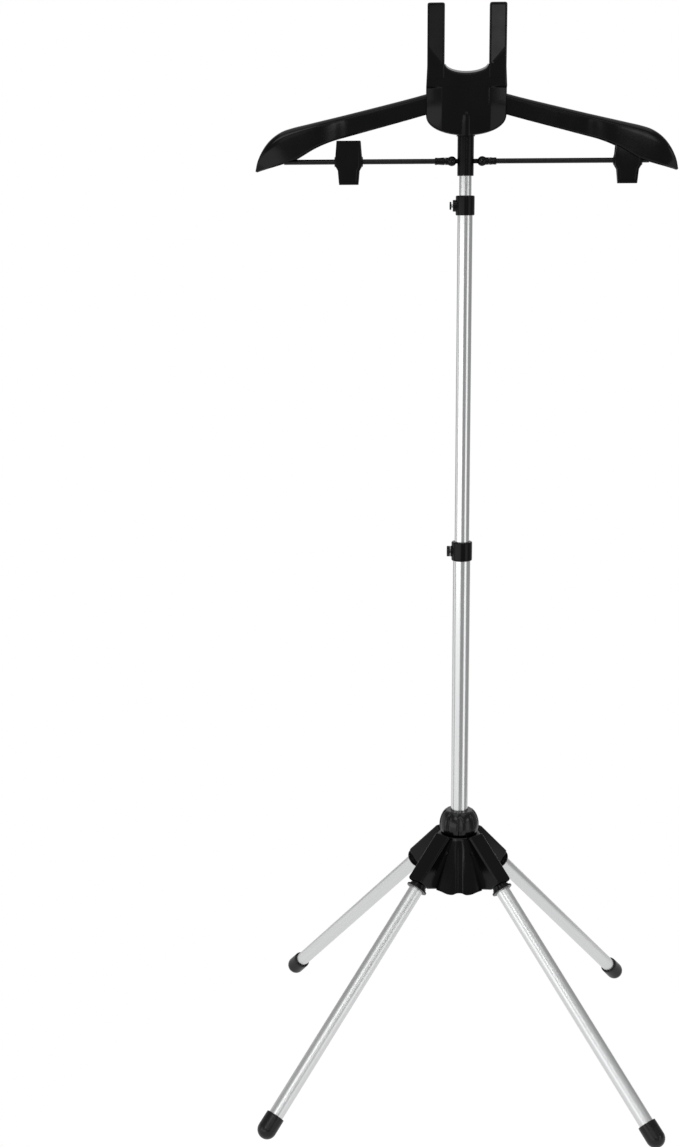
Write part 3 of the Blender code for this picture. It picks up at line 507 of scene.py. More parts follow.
def skirt_loop(share, inset=0.0):
    """One ring of the skirt, from its top (share 0) to its wavy bottom edge (share 1). Each
    panel has a shallow upright groove in its middle, of the same width all the way down."""
    points = []
    count = 208
    groove_depth, groove_width = 0.7, 3.4
    for i in range(count):
        angle = 2 * math.pi * i / count
        middle = math.cos(4 * angle)  # 1 at the middle of a panel, -1 at a leg
        crease = math.exp(-((1 - middle) / 0.12) ** 2)
        lobe = math.exp(-((middle - 0.45) / 0.5) ** 2)
        low = SKIRT_LOW + 2.1 * crease - 1.2 * lobe + 1.5 * (1 - middle)
        spread_out = (SKIRT_LOW_RADIUS - SKIRT_TOP_RADIUS) * share ** 0.92
        reach = SKIRT_TOP_RADIUS + spread_out - inset
        off_middle = reach * math.sin(abs((angle + math.pi / 4) % (math.pi / 2) - math.pi / 4))
        groove = math.exp(-(off_middle / groove_width) ** 2)
        reach -= groove_depth * groove * min(1.0, share * 5)
        height = DECK_TOP + (low - DECK_TOP) * share
        points.append((reach * math.cos(angle), reach * math.sin(angle), height))
    return points


def channel_outline():
    """Side view of a leg channel, from the hub's middle out to its mouth."""
    return rounded([
        (CHANNEL_START, SKIRT_LOW + 2.7, 0),
        (43.0, SKIRT_LOW + 3.0, 0),
        (*along_leg(CHANNEL_END - 0.8, -5.0), 0),
        (*along_leg(CHANNEL_END, CHANNEL_ROOF), 3.0),
        (*along_leg(-15.8, CHANNEL_ROOF), 4.0),
        (22.0, DECK_TOP - 0.5, 0),
        (CHANNEL_START, DECK_TOP - 0.5, 0),
    ])


def channel_hollow_outline():
    around_heel = arc((PIVOT_REACH, PIVOT_HEIGHT), CHANNEL_ROOM_ROOF, 90 - LEG_SLOPE, 180, 12)
    return [
        (16.0, 190.0), (95.0, 190.0), along_leg(CHANNEL_END + 15, CHANNEL_ROOM_ROOF),
        *around_heel, (16.0, PIVOT_HEIGHT - 4.0),
    ]


def make_hub():
    rows = 14
    outer = [skirt_loop(0, 1.0), skirt_loop(0.004, 0.35), skirt_loop(0.018)]  # a soft top edge
    outer += [skirt_loop(i / rows) for i in range(1, rows + 1)]
    inner = [skirt_loop(1 - i / rows, SKIRT_WALL) for i in range(rows + 1)]
    bm = bmesh.new()
    skin(bm, [[bm.verts.new(point) for point in loop] for loop in outer + inner])
    hub = solid("hub", bm)
    steps = add(rod("deck", SKIRT_TOP_RADIUS - 0.4, DECK_TOP - 3.2, DECK_TOP - 0.3))
    hollows = []
    half = CHANNEL_HALF_WIDTH - CHANNEL_WALL
    for name, azimuth in LEG_AZIMUTHS.items():
        turn = spin(azimuth, "Z") @ IN_XZ
        steps += add(plate("channel_" + name, channel_outline(), -CHANNEL_HALF_WIDTH,
                           CHANNEL_HALF_WIDTH, 2.3, turn))
        hollows.append(plate("hollow_" + name, channel_hollow_outline(), -half, half, 0, turn))
        hollows.append(pivot_hole("pin_hole_" + name, azimuth))
    steps += cut(*hollows)
    steps += add(rod("boss", BOSS_RADIUS, BOSS_LOW, DECK_TOP - 1.0, 0.8))
    rib = [(11.5, 224.0), (39.0, 224.0), (31.5, 245.0), (22.5, DECK_TOP - 3.0),
           (11.5, DECK_TOP - 2.0)]
    for azimuth in (0, 90, 180, 270):
        steps += add(plate("rib_%d" % azimuth, rib, -1.3, 1.3, 0.0, spin(azimuth, "Z") @ IN_XZ))
    bore = tube_size("lower_tube")[0] + GAP
    steps += cut(rod("seat", SKIRT_TOP_RADIUS + 0.1, DECK_TOP, DECK_TOP + 30, steps=ROUND),
                 rod("bore", bore, BOSS_LOW - 10, DECK_TOP + 10, steps=ROUND))
    combine(hub, *steps)
    dress(hub, BLACK, "stand", "hub_body")


# The clamp knob's side: radius, height above its bottom, and depth of the grooves
KNOB_SIDE = [
    (18.4, 0.0, 0.0), (19.8, 0.5, 0.3), (21.0, 1.7, 1.1), (21.9, 4.5, 1.8), (22.2, 8.5, 2.1),
    (21.8, 13.0, 2.1), (20.5, 17.6, 2.0), (18.7, 21.5, 1.8), (16.6, 24.2, 1.4), (15.0, 25.3, 0.8),
    (13.6, 25.7, 0.2),
]


def knob_ring(radius, height, flute):
    count = KNOB_LOBES * LOBE_POINTS
    points = []
    for i in range(count):
        angle = 2 * math.pi * i / count + math.radians(KNOB_TURN)
        groove = (0.5 - 0.5 * math.cos(2 * math.pi * i * KNOB_LOBES / count)) ** 7
        reach = radius - flute * groove
        points.append((reach * math.cos(angle), reach * math.sin(angle), height))
    return points


def make_knob():
    low, top = (corner.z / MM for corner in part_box("hub_knob"))
    loops = [knob_ring(radius, low + height, max(0.0, flute))
             for radius, height, flute in smooth_rows(KNOB_SIDE, 5)]
    bore = tube_size("lower_tube")[0] + GAP
    knob = combine(
        loft("clamp_knob", loops),
        *cut(rod("knob_bore", bore, low - 5, top + 5, steps=ROUND),
             rod("knob_counterbore", COLLET_RADIUS + GAP, low - 5, COLLET_TOP + GAP)),
    )
    dress(knob, KNOB_BLACK, "base_knob", "hub_knob")


def foot_profile():
    """Half section of a foot cap: a domed tip, a soft rim at its mouth, and its bore."""
    mouth = LEG_LENGTH - 16.5
    dome = arc((0, LEG_LENGTH), FOOT_RADIUS, 90, 0, 18)
    dome[0] = (0, LEG_LENGTH + FOOT_RADIUS)
    sleeve_side = rounded([
        (FOOT_RADIUS, LEG_LENGTH, 0), (FOOT_RADIUS - 0.1, mouth + 2.0, 0.6),
        (FOOT_RADIUS - 0.25, mouth, 0.8),
        (LEG_RADIUS + GAP, mouth, 0.3), (LEG_RADIUS + GAP, LEG_LENGTH - 4.6, 0),
        (0, LEG_LENGTH - 4.6, 0),
    ], closed=False)
    return dome + sleeve_side[1:]


def make_leg(name):
    azimuth = LEG_AZIMUTHS[name]
    body = "leg_" + name
    place = leg_pivot(azimuth) @ ALONG_X
    tube = combine(
        sleeve("tube_" + name, LEG_RADIUS, LEG_BORE, -LEG_HEEL, LEG_LENGTH - 5.0, 0.25, place),
        *cut(pivot_hole("eye_" + name, azimuth)),
    )
    dress(tube, LEG_ALUMINIUM, body, "leg_tube_" + name)
    start = CHANNEL_END + 1.4
    inner = LEG_RADIUS + GAP
    collar = rounded([
        (inner, start - 6, 0.1), (inner, start + 4.3, 0.3), (12.0, start + 4.3, 0.7),
        (12.0, start + 2.3, 0.7), (9.8, start + 1.9, 0.5), (9.8, start, 0.4),
        (inner + 0.4, start, 0.1), (inner + 0.4, start - 6, 0.1),
    ])
    dress(turned("collar_" + name, collar, place=place), BLACK, body,
          "leg_collar_" + name)
    foot = turned("foot_" + name, foot_profile(), place=place)
    to_ground = place.inverted()
    for vert in foot.data.vertices:  # the cap is flat where it stands on the ground
        spot = place @ vert.co
        if spot.z < 0:
            spot.z = 0.0
            vert.co = to_ground @ spot
    dress(foot, RUBBER, body, "foot_cap_" + name)


# ---------------------------------------------------------------- pole

def tube_size(node):
    """Radius, bottom and top of an upright tube."""
    low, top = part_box(node)
    return top.x / MM, low.z / MM, top.z / MM


def lock_height(lock):
    """The height of a thumbscrew's axis."""
    low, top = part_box(lock + "_knob")
    return (low.z + top.z) / 2 / MM


def lock_hole(node, height):
    """A cutter for a thumbscrew's screw."""
    return rod(node + "_hole", LOCK_SCREW_HOLE, 5.0, 20.0,
               place=at((0, 0, height), ALONG_MINUS_X))


def make_tube(node, wall, body, lock=None):
    radius, low, top = tube_size(node)
    tube = sleeve(node + "_drawn", radius, radius - wall, low, top, 0.25)
    if lock:
        combine(tube, *cut(lock_hole(node, lock_height(lock))))
    dress(tube, ALUMINIUM, body, node)


def make_collar(node, outer_tube, inner_tube, lock, boss_radius, body):
    """A collar round the outer tube's end, with its screw boss on the left, and a narrower
    mouth for the inner tube."""
    radius, low, top = tube_size(node)
    face = -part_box(node)[0].x / MM
    height = lock_height(lock)
    room = tube_size(outer_tube)[0] + GAP
    lip = tube_size(inner_tube)[0] + GAP
    blank = rounded([(0, low, 0), (radius, low, 1.5), (radius, top, 1.5), (0, top, 0)],
                    closed=False)
    collar = combine(
        turned(node + "_moulded", blank),
        *add(rod(node + "_boss", boss_radius, 3.0, face, 0.7,
                 place=at((0, 0, height), ALONG_MINUS_X))),
        *cut(rod(node + "_bore", room, low - 5, tube_size(outer_tube)[2] + GAP, steps=ROUND),
             rod(node + "_mouth", lip, low, top + 5, steps=ROUND),
             lock_hole(node, height)),
    )
    dress(collar, BLACK, body, node)


def make_thumbscrew(lock):
    """The moulded head of a thumbscrew, with grip flutes and a dished end."""
    grips = 8
    low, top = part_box(lock + "_knob")
    start, end = -top.x / MM, -low.x / MM
    radius = (top.z - low.z) / 2 / MM
    place = at((0, 0, lock_height(lock)), ALONG_MINUS_X)
    profile = rounded([
        (LOCK_SCREW_HOLE, start, 0), (radius, start, 0.5), (radius, end, 0.9),
        (radius * 0.7, end, 0.3), (radius * 0.62, end - 0.5, 0.3), (0, end - 0.5, 0),
    ], closed=False)
    profile += [(0, end - 1.2), (LOCK_SCREW_HOLE, end - 1.2)]
    head = turned(lock + "_head", profile, 72, place)
    for vert in head.data.vertices:
        reach = math.hypot(vert.co.x, vert.co.y) / MM
        angle = math.atan2(vert.co.y, vert.co.x)
        if reach > radius - 1.0:
            groove = (0.5 + 0.5 * math.cos(grips * angle)) ** 3
            shrink = 1 - 0.85 * groove * (reach - radius + 1.0) / reach
            vert.co.x *= shrink
            vert.co.y *= shrink
    dress(head, KNOB_BLACK, lock + "_knob", lock + "_knob")


def make_pole():
    make_tube("lower_tube", 1.0, "stand", "lower_lock")
    make_tube("mid_tube", 0.8, "mid_pole", "upper_lock")
    make_tube("top_tube", 0.8, "top_pole")
    make_collar("lower_collar", "lower_tube", "mid_tube", "lower_lock", 6.0, "stand")
    make_collar("upper_collar", "mid_tube", "top_tube", "upper_lock", 6.1, "mid_pole")
    make_thumbscrew("lower_lock")
    make_thumbscrew("upper_lock")


# ---------------------------------------------------------------- head

def saddle_height(x):
    rise = PRONG_ROOT + 2.0 - SADDLE_HEIGHT
    return SADDLE_HEIGHT + rise * (1 - math.sqrt(max(0.0, 1 - (x / PRONG_INNER) ** 2)))


def shield_low(x):
    share = min(1.0, abs(x) / SHIELD_HALF_WIDTH)
    depth = SHIELD_SIDE_LOW - SHIELD_LOW
    return SHIELD_SIDE_LOW - depth * math.sqrt(max(0.0, 1 - share ** 2)) ** 0.9


def shield_front(x, height):
    """How far the shield stands in front of the pole's axis: a flat middle, and sides that
    curve back below the crease."""
    share = min(1.0, max(0.0, (height - SHIELD_LOW) / CREST_RISE))
    middle = LOW_DEPTH + (CREST_DEPTH - LOW_DEPTH) * math.sin(share * math.pi / 2)
    flat = SHIELD_FLAT[1 if x > 0 else -1]
    side = max(0.0, abs(x) - flat) / (SHIELD_HALF_WIDTH - flat)
    below = middle - SIDE_DROP * side ** 1.1
    rise = min(1.0, max(0.0, (height - CREASE_HEIGHT + CREASE_HALF) / (2 * CREASE_HALF)))
    rise = rise * rise * (3 - 2 * rise)
    return below + (-BAND_FACE - below) * rise


def edge_rounding(distance, radius):
    """How far a face drops back near its edge, for a rim rounded to a radius."""
    inside = max(0.0, radius - max(0.0, distance))
    return radius - math.sqrt(max(0.0, radius ** 2 - inside ** 2))


def shield():
    """The shield and the band above it, as a rounded slab with a convex front."""
    columns = 72
    # Shares of the way up to the crease, and steps across it: close rows keep both edges crisp
    levels = [0.0, 0.012, 0.03, 0.055, 0.09, 0.15, 0.24, 0.35, 0.47, 0.6, 0.72, 0.83, 0.92, 1.0]
    crease_steps = (-0.9, -0.6, -0.3, 0.0, 0.3, 0.6, 0.9, 1.4)
    crease = CREASE_HEIGHT - 1.2
    rest = CREASE_HEIGHT + 1.4
    taper = (SHIELD_HALF_WIDTH - PRONG_OUTER) / (PRONG_ROOT - CREASE_HEIGHT)
    rows = []
    bm = bmesh.new()
    for i in range(columns + 1):
        along = -math.cos(math.pi * i / columns)
        x = along * SHIELD_HALF_WIDTH
        under_saddle = abs(x) < PRONG_INNER
        low = shield_low(x)
        top = saddle_height(x) if under_saddle else PRONG_ROOT + 2.0
        heights = [low + (crease - low) * level for level in levels]
        heights += [CREASE_HEIGHT + step for step in crease_steps]
        heights += [rest + (top - rest) * level
                    for level in (0.25, 0.5, 0.75, 0.9, 0.96, 0.99, 1.0)]
        side = (1 - abs(along)) * SHIELD_HALF_WIDTH
        slope = math.sqrt(max(0.0, 1 - along ** 2))
        front_row, back_row = [], []
        for height in heights:
            squeeze = 1 - taper * max(0.0, height - CREASE_HEIGHT) / SHIELD_HALF_WIDTH
            rim = min(side, (height - low) * (0.35 + 0.65 * slope))
            rise = 0.0
            if under_saddle:  # the saddle slopes up to its rear edge
                rim = min(rim, top - height)
                rise = SADDLE_RISE * (max(0.0, height - rest) / (top - rest)) ** 6
            depth = shield_front(x, height) - edge_rounding(rim, 1.6)
            front_row.append(bm.verts.new((x * squeeze, -depth, height)))
            behind = HEAD_BACK - edge_rounding(rim, 0.4)
            back_row.append(bm.verts.new((x * squeeze, behind, height + rise)))
        rows.append(front_row + back_row[::-1])
    skin(bm, rows, ring=False)
    bm.faces.new(rows[0])
    bm.faces.new(rows[-1])
    return solid("shield", bm)


def prong(side):
    """One prong of the fork: a rounded bar with a recessed panel that ends in a slanted ramp."""
    inner, outer = PRONG_INNER, PRONG_OUTER
    middle, half = (inner + outer) / 2, (outer - inner) / 2
    depth_middle, depth_half = (PRONG_FACE + HEAD_BACK) / 2, (HEAD_BACK - PRONG_FACE) / 2
    loops = []
    for height, inset in ((PRONG_START, 0.0), (PRONG_TOP - 2.2, 0.0), (PRONG_TOP - 1.3, 0.2),
                          (PRONG_TOP - 0.6, 0.6), (PRONG_TOP - 0.15, 1.2), (PRONG_TOP, 1.9)):
        outline = frame_loop(half - inset, depth_half - inset, 1.5)
        loops.append([(side * (middle + x), depth_middle + y, height) for x, y in outline])
    bar = loft("prong_%d" % side, loops)
    left, right, top = inner + 2.0, outer - 2.0, PRONG_TOP - 2.6
    mouth = (left - 0.5, right + 0.5, 1098.5, 1114.5, top + 0.5, PRONG_FACE - 0.4)
    floor = (left, right, 1102.5, 1118.5, top, PRONG_FACE + 0.8)
    panel = []
    for x_in, x_out, low_in, low_out, high, y in (mouth, floor):
        corners = rounded([(x_in, low_in, 1.0), (x_out, low_out, 1.0), (x_out, high, 1.2),
                           (x_in, high, 1.2)])
        turn = 0.09 if y > PRONG_FACE else 0.0  # the sunk face turns a little outwards
        panel.append([(side * x, y + turn * (x - left), height) for x, height in corners])
    return combine(bar, *cut(loft("panel_%d" % side, panel)))


# The neck's sections: height, radius, and how far its front stands in front of the pole's axis
NECK_SECTIONS = [
    (SHIELD_LOW - 0.4, 8.4, 13.2), (SHIELD_LOW + 0.3, 8.6, 13.6), (1038.0, 8.6, 15.5),
    (1045.0, 8.5, 17.3), (1050.0, 7.8, 18.1), (1053.5, 6.4, 18.1), (1055.5, 4.5, 17.6),
]


def neck():
    """The half-round neck that leans into the shield above the stem."""
    loops = []
    for height, radius, front in smooth_rows(NECK_SECTIONS, 4):
        centre = (0, radius - front)
        circle = arc(centre, radius, 0, 352.5, 47)  # 48 points
        loops.append([(x, y, height) for x, y in circle])
    return combine(loft("neck", loops),
                   *cut(block("neck_back", (-20, HEAD_BACK - 1.3, 1020), (20, 20, 1060))))


def make_head_front():
    steps = add(prong(-1), prong(1), neck())
    for side in SIDES.values():
        steps += cut(across("socket_%d" % side, ARM_PIN_HOLE, -11.6, 0, side * ARM_PIVOT_X,
                            ARM_PIVOT_HEIGHT))
    for level, height in SCREW_HEIGHTS.items():
        steps += cut(across("screw_socket_" + level, HEAD_SCREW_HOLE, -12.4, 0, 0, height))
    front = combine(shield(), *steps)
    dress(front, BLACK, "head", "head_front", angle=28)


def stem_tongue(side):
    reach = BALL_REACH[side]
    eye = arc((reach, ROD_HEIGHT), 2.4, -90, 90, 14)
    outline = [(7.5, ROD_HEIGHT - 2.4), *eye, (7.5, ROD_HEIGHT + 2.4)]
    outline = [(SIDES[side] * x, height) for x, height in outline]
    return stand_plate("tongue_" + side, outline, -1.5, 1.5, 0.3)


def make_head_rear():
    bore = tube_size("top_tube")[0] + GAP
    roof = tube_size("top_tube")[2] + GAP
    stem = rounded([
        (0, roof, 0), (bore, roof, 0), (bore, STEM_LOW, 0.3), (STEM_RADIUS, STEM_LOW, 0.9),
        (STEM_RADIUS, SHIELD_LOW - 0.8, 0), (STEM_RADIUS - 0.1, SHIELD_LOW - 0.6, 0),
        (STEM_RADIUS - 0.1, roof + 4, 0), (0, roof + 4, 0),
    ], closed=False)
    head = turned("head_back", stem)
    spine = block("spine", (-14.5, HEAD_BACK + GAP, SHIELD_LOW - 0.3), (14.5, 13.3, 1087), 1.0)
    combine(spine, *cut(*[block("relief_%d" % x, (x, -20, 1000), (x + 20.5, 30, 1040))
                          for x in (-30, 9.5)]))
    right = [(8.0, 1037.7, 1), (24, 1047, 5), (36, 1057, 5), (38, 1066, 5), (36, 1080, 4),
             (30, 1088, 3)]
    outline = rounded(right + [(-x, height, radius) for x, height, radius in reversed(right)])
    back = stand_plate("rear_plate", outline, 12.4, 15.6, 0.8)
    steps = cut(block("stem_front", (-20, -20, SHIELD_LOW - 0.5), (20, HEAD_BACK + GAP, 1060)))
    steps += add(spine, back, stem_tongue("left"), stem_tongue("right"))
    for side, sign in SIDES.items():
        steps += cut(
            across("pin_hole_" + side, ARM_PIN_HOLE, 5, 30, sign * ARM_PIVOT_X,
                   ARM_PIVOT_HEIGHT),
            across("tongue_hole_" + side, 1.3, -5, 5, sign * BALL_REACH[side], ROD_HEIGHT),
        )
    for level, height in SCREW_HEIGHTS.items():
        steps += cut(across("screw_hole_" + level, HEAD_SCREW_HOLE, -12, 30, 0, height),
                     across("screw_sink_" + level, 3.5, 14.05, 30, 0, height))
    combine(head, *steps)
    dress(head, BLACK, "head", "head_rear")


def headed_pin(name, radius, head_radius, tip, seat, steps, spot):
    """A pin along Y from its tip to its seat, with a low domed head behind the seat."""
    profile = rounded([(0, tip, 0), (radius, tip, 0.4), (radius, seat, 0),
                       (head_radius, seat, 0.2), (head_radius, seat + 1.0, 0.8),
                       (0, seat + 1.3, 0)], closed=False)
    return turned(name, profile, steps, at(spot, ALONG_Y))


def make_head_screws():
    for level, height in SCREW_HEIGHTS.items():
        spot = (0, 0, height)
        screw = headed_pin("screw_" + level, 1.6, 3.2, -12.0, 14.3, SMALL_ROUND, spot)
        slots = [block("slot_%s_%d" % (level, turn), (-2.0, -0.4, 14.9), (2.0, 0.4, 17), 0.0,
                       at(spot, ALONG_Y) @ spin(turn, "Z")) for turn in (0, 90)]
        combine(screw, *cut(*slots))
        dress(screw, STEEL, "head", "head_screw_" + level)


def make_arm_pin(side):
    pin = headed_pin(side + "_pivot_pin", 3.0, 4.6, -11.2, 15.9, ROUND,
                     (SIDES[side] * ARM_PIVOT_X, 0, ARM_PIVOT_HEIGHT))
    dress(pin, STEEL, "head", side + "_arm_pin")


# Arm sections: reach and height of the top edge, the same of the bottom edge, front and back Y
ARM_SECTIONS = [
    (30, 1076.5, 30, 1056.2, -6.9, 12.0),
    (60, 1068.6, 60, 1048.0, -6.9, 12.0),
    (105, 1057.8, 105, 1036.2, -6.9, 12.0),
    (124, 1053.3, 124, 1031.2, -7.6, 12.2),
    (138, 1050.0, 137, 1027.8, -10.2, 12.7),
    (152, 1046.8, 149, 1023.6, -11.9, 13.4),
    (166, 1043.6, 160, 1018.6, -12.2, 13.8),
    (180, 1040.4, 171, 1012.2, -12.2, 14.0),
    (192, 1036.4, 180, 1007.2, -12.2, 13.8),
    (203, 1029.0, 190, 1004.4, -11.8, 13.0),
    (211.5, 1018.8, 200, 1001.4, -10.6, 11.4),
    (217.4, 1007.0, 210, 998.4, -8.0, 8.4),
    (220, 996.4, 218.6, 995.4, -3.4, 3.6),
]
ARCH_POWER = 0.62  # under 1 makes an arm's top squarer than a half circle


def arm_loop(section, sign, hollow):
    """A cross-section of an arm: an arch, and under it the hollow. At hollow = 1 the wall is
    thin all round, and towards 0 the hollow closes up."""
    top_x, top_z, low_x, low_z, front, back = section
    length = math.hypot(top_x - low_x, top_z - low_z)
    up = ((top_x - low_x) / length, (top_z - low_z) / length)
    wall = min(1.9, 0.3 * length, 0.3 * (back - front))
    half = (back - front) / 2
    spring_line = 0.66 * length
    side_lifts = [spring_line * share for share in (0.06, 0.3, 0.6, 1.0)]
    outline = [(-half, lift) for lift in side_lifts]
    for i in range(1, 16):
        angle = math.pi * (1 - i / 16)
        level = math.copysign(abs(math.cos(angle)) ** ARCH_POWER, math.cos(angle))
        rise = (length - spring_line) * math.sin(angle) ** ARCH_POWER
        outline.append((half * level, spring_line + rise))
    outline += [(half, lift) for lift in reversed(side_lifts)]
    outline.append((half - wall * 0.5, 0.0))
    inner_half = half - wall
    inner_line = spring_line * hollow
    crown = (length - wall) * hollow
    inner_lifts = [0.06 * spring_line * hollow, max(0.02, inner_line * 0.5), max(0.02, inner_line)]
    outline += [(inner_half, lift) for lift in inner_lifts]
    for i in range(1, 12):
        angle = math.pi * i / 12
        outline.append((inner_half * math.cos(angle),
                        inner_line + max(0.03, crown - inner_line) * math.sin(angle)))
    outline += [(-inner_half, lift) for lift in reversed(inner_lifts)]
    outline.append((-half + wall * 0.5, 0.0))
    middle = (front + back) / 2
    return [(sign * (low_x + up[0] * lift), middle + side, low_z + up[1] * lift)
            for side, lift in outline]


def make_arm(side):
    sign = SIDES[side]
    name = side + "_hanger_arm"
    sections = smooth_rows(ARM_SECTIONS, 4)
    last = len(sections) - 1
    loops = []
    for i, section in enumerate(sections):  # solid near the pivot and at the tip
        inwards = min(1.0, max(0.0, (section[0] - 42) / 8))
        outwards = min(1.0, (last - i) / 3)
        hollow = max(0.02, min(inwards, outwards) ** 0.7)
        loops.append(arm_loop(section, sign, hollow))
    arm = loft(name, loops)
    pivot = (sign * ARM_PIVOT_X, ARM_PIVOT_HEIGHT)
    rib_low, rib_high = sorted((sign * 186.0, sign * 189.0))
    rib = block(name + "_rib", (rib_low, -10.9, 1005.6), (rib_high, 12.6, 1032.0))
    combine(rib, *cut(
        block(name + "_snap", (rib_low - 2, -2.8, 990), (rib_high + 2, 2.8, ROD_HEIGHT)),
        rod(name + "_snap_seat", ROD_RADIUS + GAP, rib_low - 2, rib_high + 2,
            place=at((0, 0, ROD_HEIGHT), ALONG_X)),
    ))
    combine(
        arm,
        *add(across(name + "_lobe", 10.3, -6.3, 11.3, *pivot, 0.8, ROUND), rib),
        *cut(across(name + "_eye", ARM_PIN_HOLE, -20, 30, *pivot)),
    )
    dress(arm, BLACK, side + "_arm", side + "_arm")


# ---------------------------------------------------------------- rods and clips

def make_rod(side):
    reach = BALL_REACH[side]
    outwards = ALONG_X if side == "right" else ALONG_MINUS_X
    place = at((SIDES[side] * reach, 0, ROD_HEIGHT), outwards)
    body = side + "_rod"
    ball = arc((0, 0), 5.3, -90, 44, 18)
    ball[0] = (0, -5.3)
    ball += [(3.8, 7.0), (2.95, 7.0), (2.95, 4.2), (0, 4.2)]
    joint = turned(body + "_knuckle", ball, place=place)
    slot = block(body + "_slot", (-8, -1.8, -8), (8, 1.8, 2.9), 0.0, place)
    hole = across(body + "_hole", 1.06, -8, 8, SIDES[side] * reach, ROD_HEIGHT)
    combine(joint, *cut(slot, hole))
    dress(joint, BLACK, body, body + "_ball")
    length = ROD_END - reach
    wire = rod(body + "_wire", ROD_RADIUS + 0.15, 4.5, length, 0.8, place=place)
    dress(wire, WIRE, body, body)
    end = abs(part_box(body + "_sleeve")[SIDES[side] > 0][0]) / MM - reach
    profile = rounded([(2.9, 7.3, 0.2), (3.7, 7.3, 0.4), (3.9, 8.6, 0.4), (3.5, end - 3, 0.4),
                       (3.7, end - 2.4, 0.4), (3.7, end, 0.6), (2.9, end, 0.2)])
    dress(turned(body + "_cuff", profile, place=place), BLACK, body,
          body + "_sleeve")


# Clip stations from the top of a jaw to its bottom: height above the rod, half width, and the
# outer and inner distance of the jaw's wall from the rod's axis
CLIP_STATIONS = [
    (21.3, 12.3, 6.9, 5.1), (20.9, 12.5, 7.3, 5.1), (13.0, 13.1, 7.7, 5.3), (4.5, 13.8, 7.9, 5.6),
    (-4.0, 13.8, 7.7, 5.6), (-5.5, 13.3, 7.5, 5.4), (-9.0, 11.3, 6.4, 4.3), (-14.5, 10.9, 4.7, 2.2),
    (-20.0, 10.5, 3.7, 0.7), (-23.1, 10.2, 3.2, 0.5), (-23.5, 10.0, 2.9, 0.7),
]


def jaw_loops(facing, stations=CLIP_STATIONS, side_inset=0.0, outward=0.0):
    loops = []
    for height, half, outer, inner in stations:
        outer += outward
        corner = min(0.9, (outer - inner) * 0.4)
        section = frame_loop(half - side_inset, (outer - inner) / 2, corner)
        middle = facing * (outer + inner) / 2
        loops.append([(x, middle + y, height) for x, y in section])
    return loops


def clip_place(side):
    return at((SIDES[side] * CLIP_REACH[side], 0, ROD_HEIGHT))


def make_jaw(side, facing, near, far):
    """One jaw of a clip: a bent plate with a sunk panel, and a bearing at each side
    that runs round the bush, from near to far."""
    which = "back" if facing > 0 else "front"
    name = "%s_jaw_%s" % (side, which)
    place = clip_place(side)
    jaw = loft(name, jaw_loops(facing), place)
    panel = [(18.8, 12.7, 7.4, 5.2)]
    panel += [station for station in CLIP_STATIONS if -21 < station[0] < 18]
    panel = [(height, half, outer, outer - 0.45) for height, half, outer, _ in panel]
    steps = cut(loft(name + "_panel", jaw_loops(facing, panel, 2.4, 3.0), place))
    for sign in (-1, 1):
        low, high = sorted((sign * near, sign * far))
        tag = "%s_%d" % (name, sign)
        depth = sorted((facing * 1.5, facing * 6.4))
        steps += add(
            rod(tag + "_knuckle", 5.2, low, high, 0.3, place=place @ ALONG_X),
            block(tag + "_web", (low + 0.01, depth[0], -3.6), (high - 0.01, depth[1], 3.6), 0.0,
                  place),
        )
    steps += cut(rod(name + "_bore", 4.0, -30, 30, place=place @ ALONG_X))
    combine(jaw, *steps)
    dress(jaw, BLACK, "%s_clip_%s" % (side, which),
          "%s_clip_%s_jaw" % (side, which))


def make_spring(side):
    """A torsion spring of round wire around the clip's bush, with a leg along the back jaw."""
    turns, radius, half = 4, 4.65, 3.4
    per_turn = 32
    points = []
    for i in range(turns * per_turn + 1):
        angle = 2 * math.pi * i / per_turn
        points.append((-half + 2 * half * i / (turns * per_turn), radius * math.cos(angle),
                       radius * math.sin(angle)))
    points += [(half + 0.1, radius, 1.6), (half + 0.2, radius, 3.5),
               (half + 0.2, radius + 0.1, 12.0)]
    curve = bpy.data.curves.new(side + "_spring_wire", "CURVE")
    curve.dimensions = "3D"
    curve.bevel_depth = 0.42 * MM
    curve.bevel_resolution = 2
    curve.use_fill_caps = True
    spline = curve.splines.new("POLY")
    spline.points.add(len(points) - 1)
    for point, spot in zip(spline.points, points):
        point.co = (*[value * MM for value in spot], 1)
    guide = link(bpy.data.objects.new(side + "_spring_guide", curve))
    mesh = applied_mesh(guide)
    bpy.data.objects.remove(guide, do_unlink=True)
    spring = link(bpy.data.objects.new(side + "_spring", mesh), clip_place(side))
    dress(spring, STEEL, side + "_clip_back", side + "_clip_spring", angle=60)


# ---------------------------------------------------------------- build

make_hub()
make_knob()
for leg_name in LEG_AZIMUTHS:
    make_leg(leg_name)
make_pole()
make_head_front()
make_head_rear()
make_head_screws()
for side_name in SIDES:
    make_arm(side_name)
    make_arm_pin(side_name)
    make_rod(side_name)
    make_jaw(side_name, 1, 10.1, CLIP_HALF_WIDTH)
    make_jaw(side_name, -1, 4.6, 9.8)
    make_spring(side_name)

# The pieces inside others keep their CAD shape, and get a finish
CARRIED_OVER = {"leg_pin": DARK_STEEL, "lock_screw": STEEL, "rod_pin": BLACK}
for node_name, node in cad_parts.items():
    chosen = INNER
    for words, material in CARRIED_OVER.items():
        if words in node_name:
            chosen = material
    node.data.materials.clear()
    node.data.materials.append(chosen)


# ---------------------------------------------------------------- studio

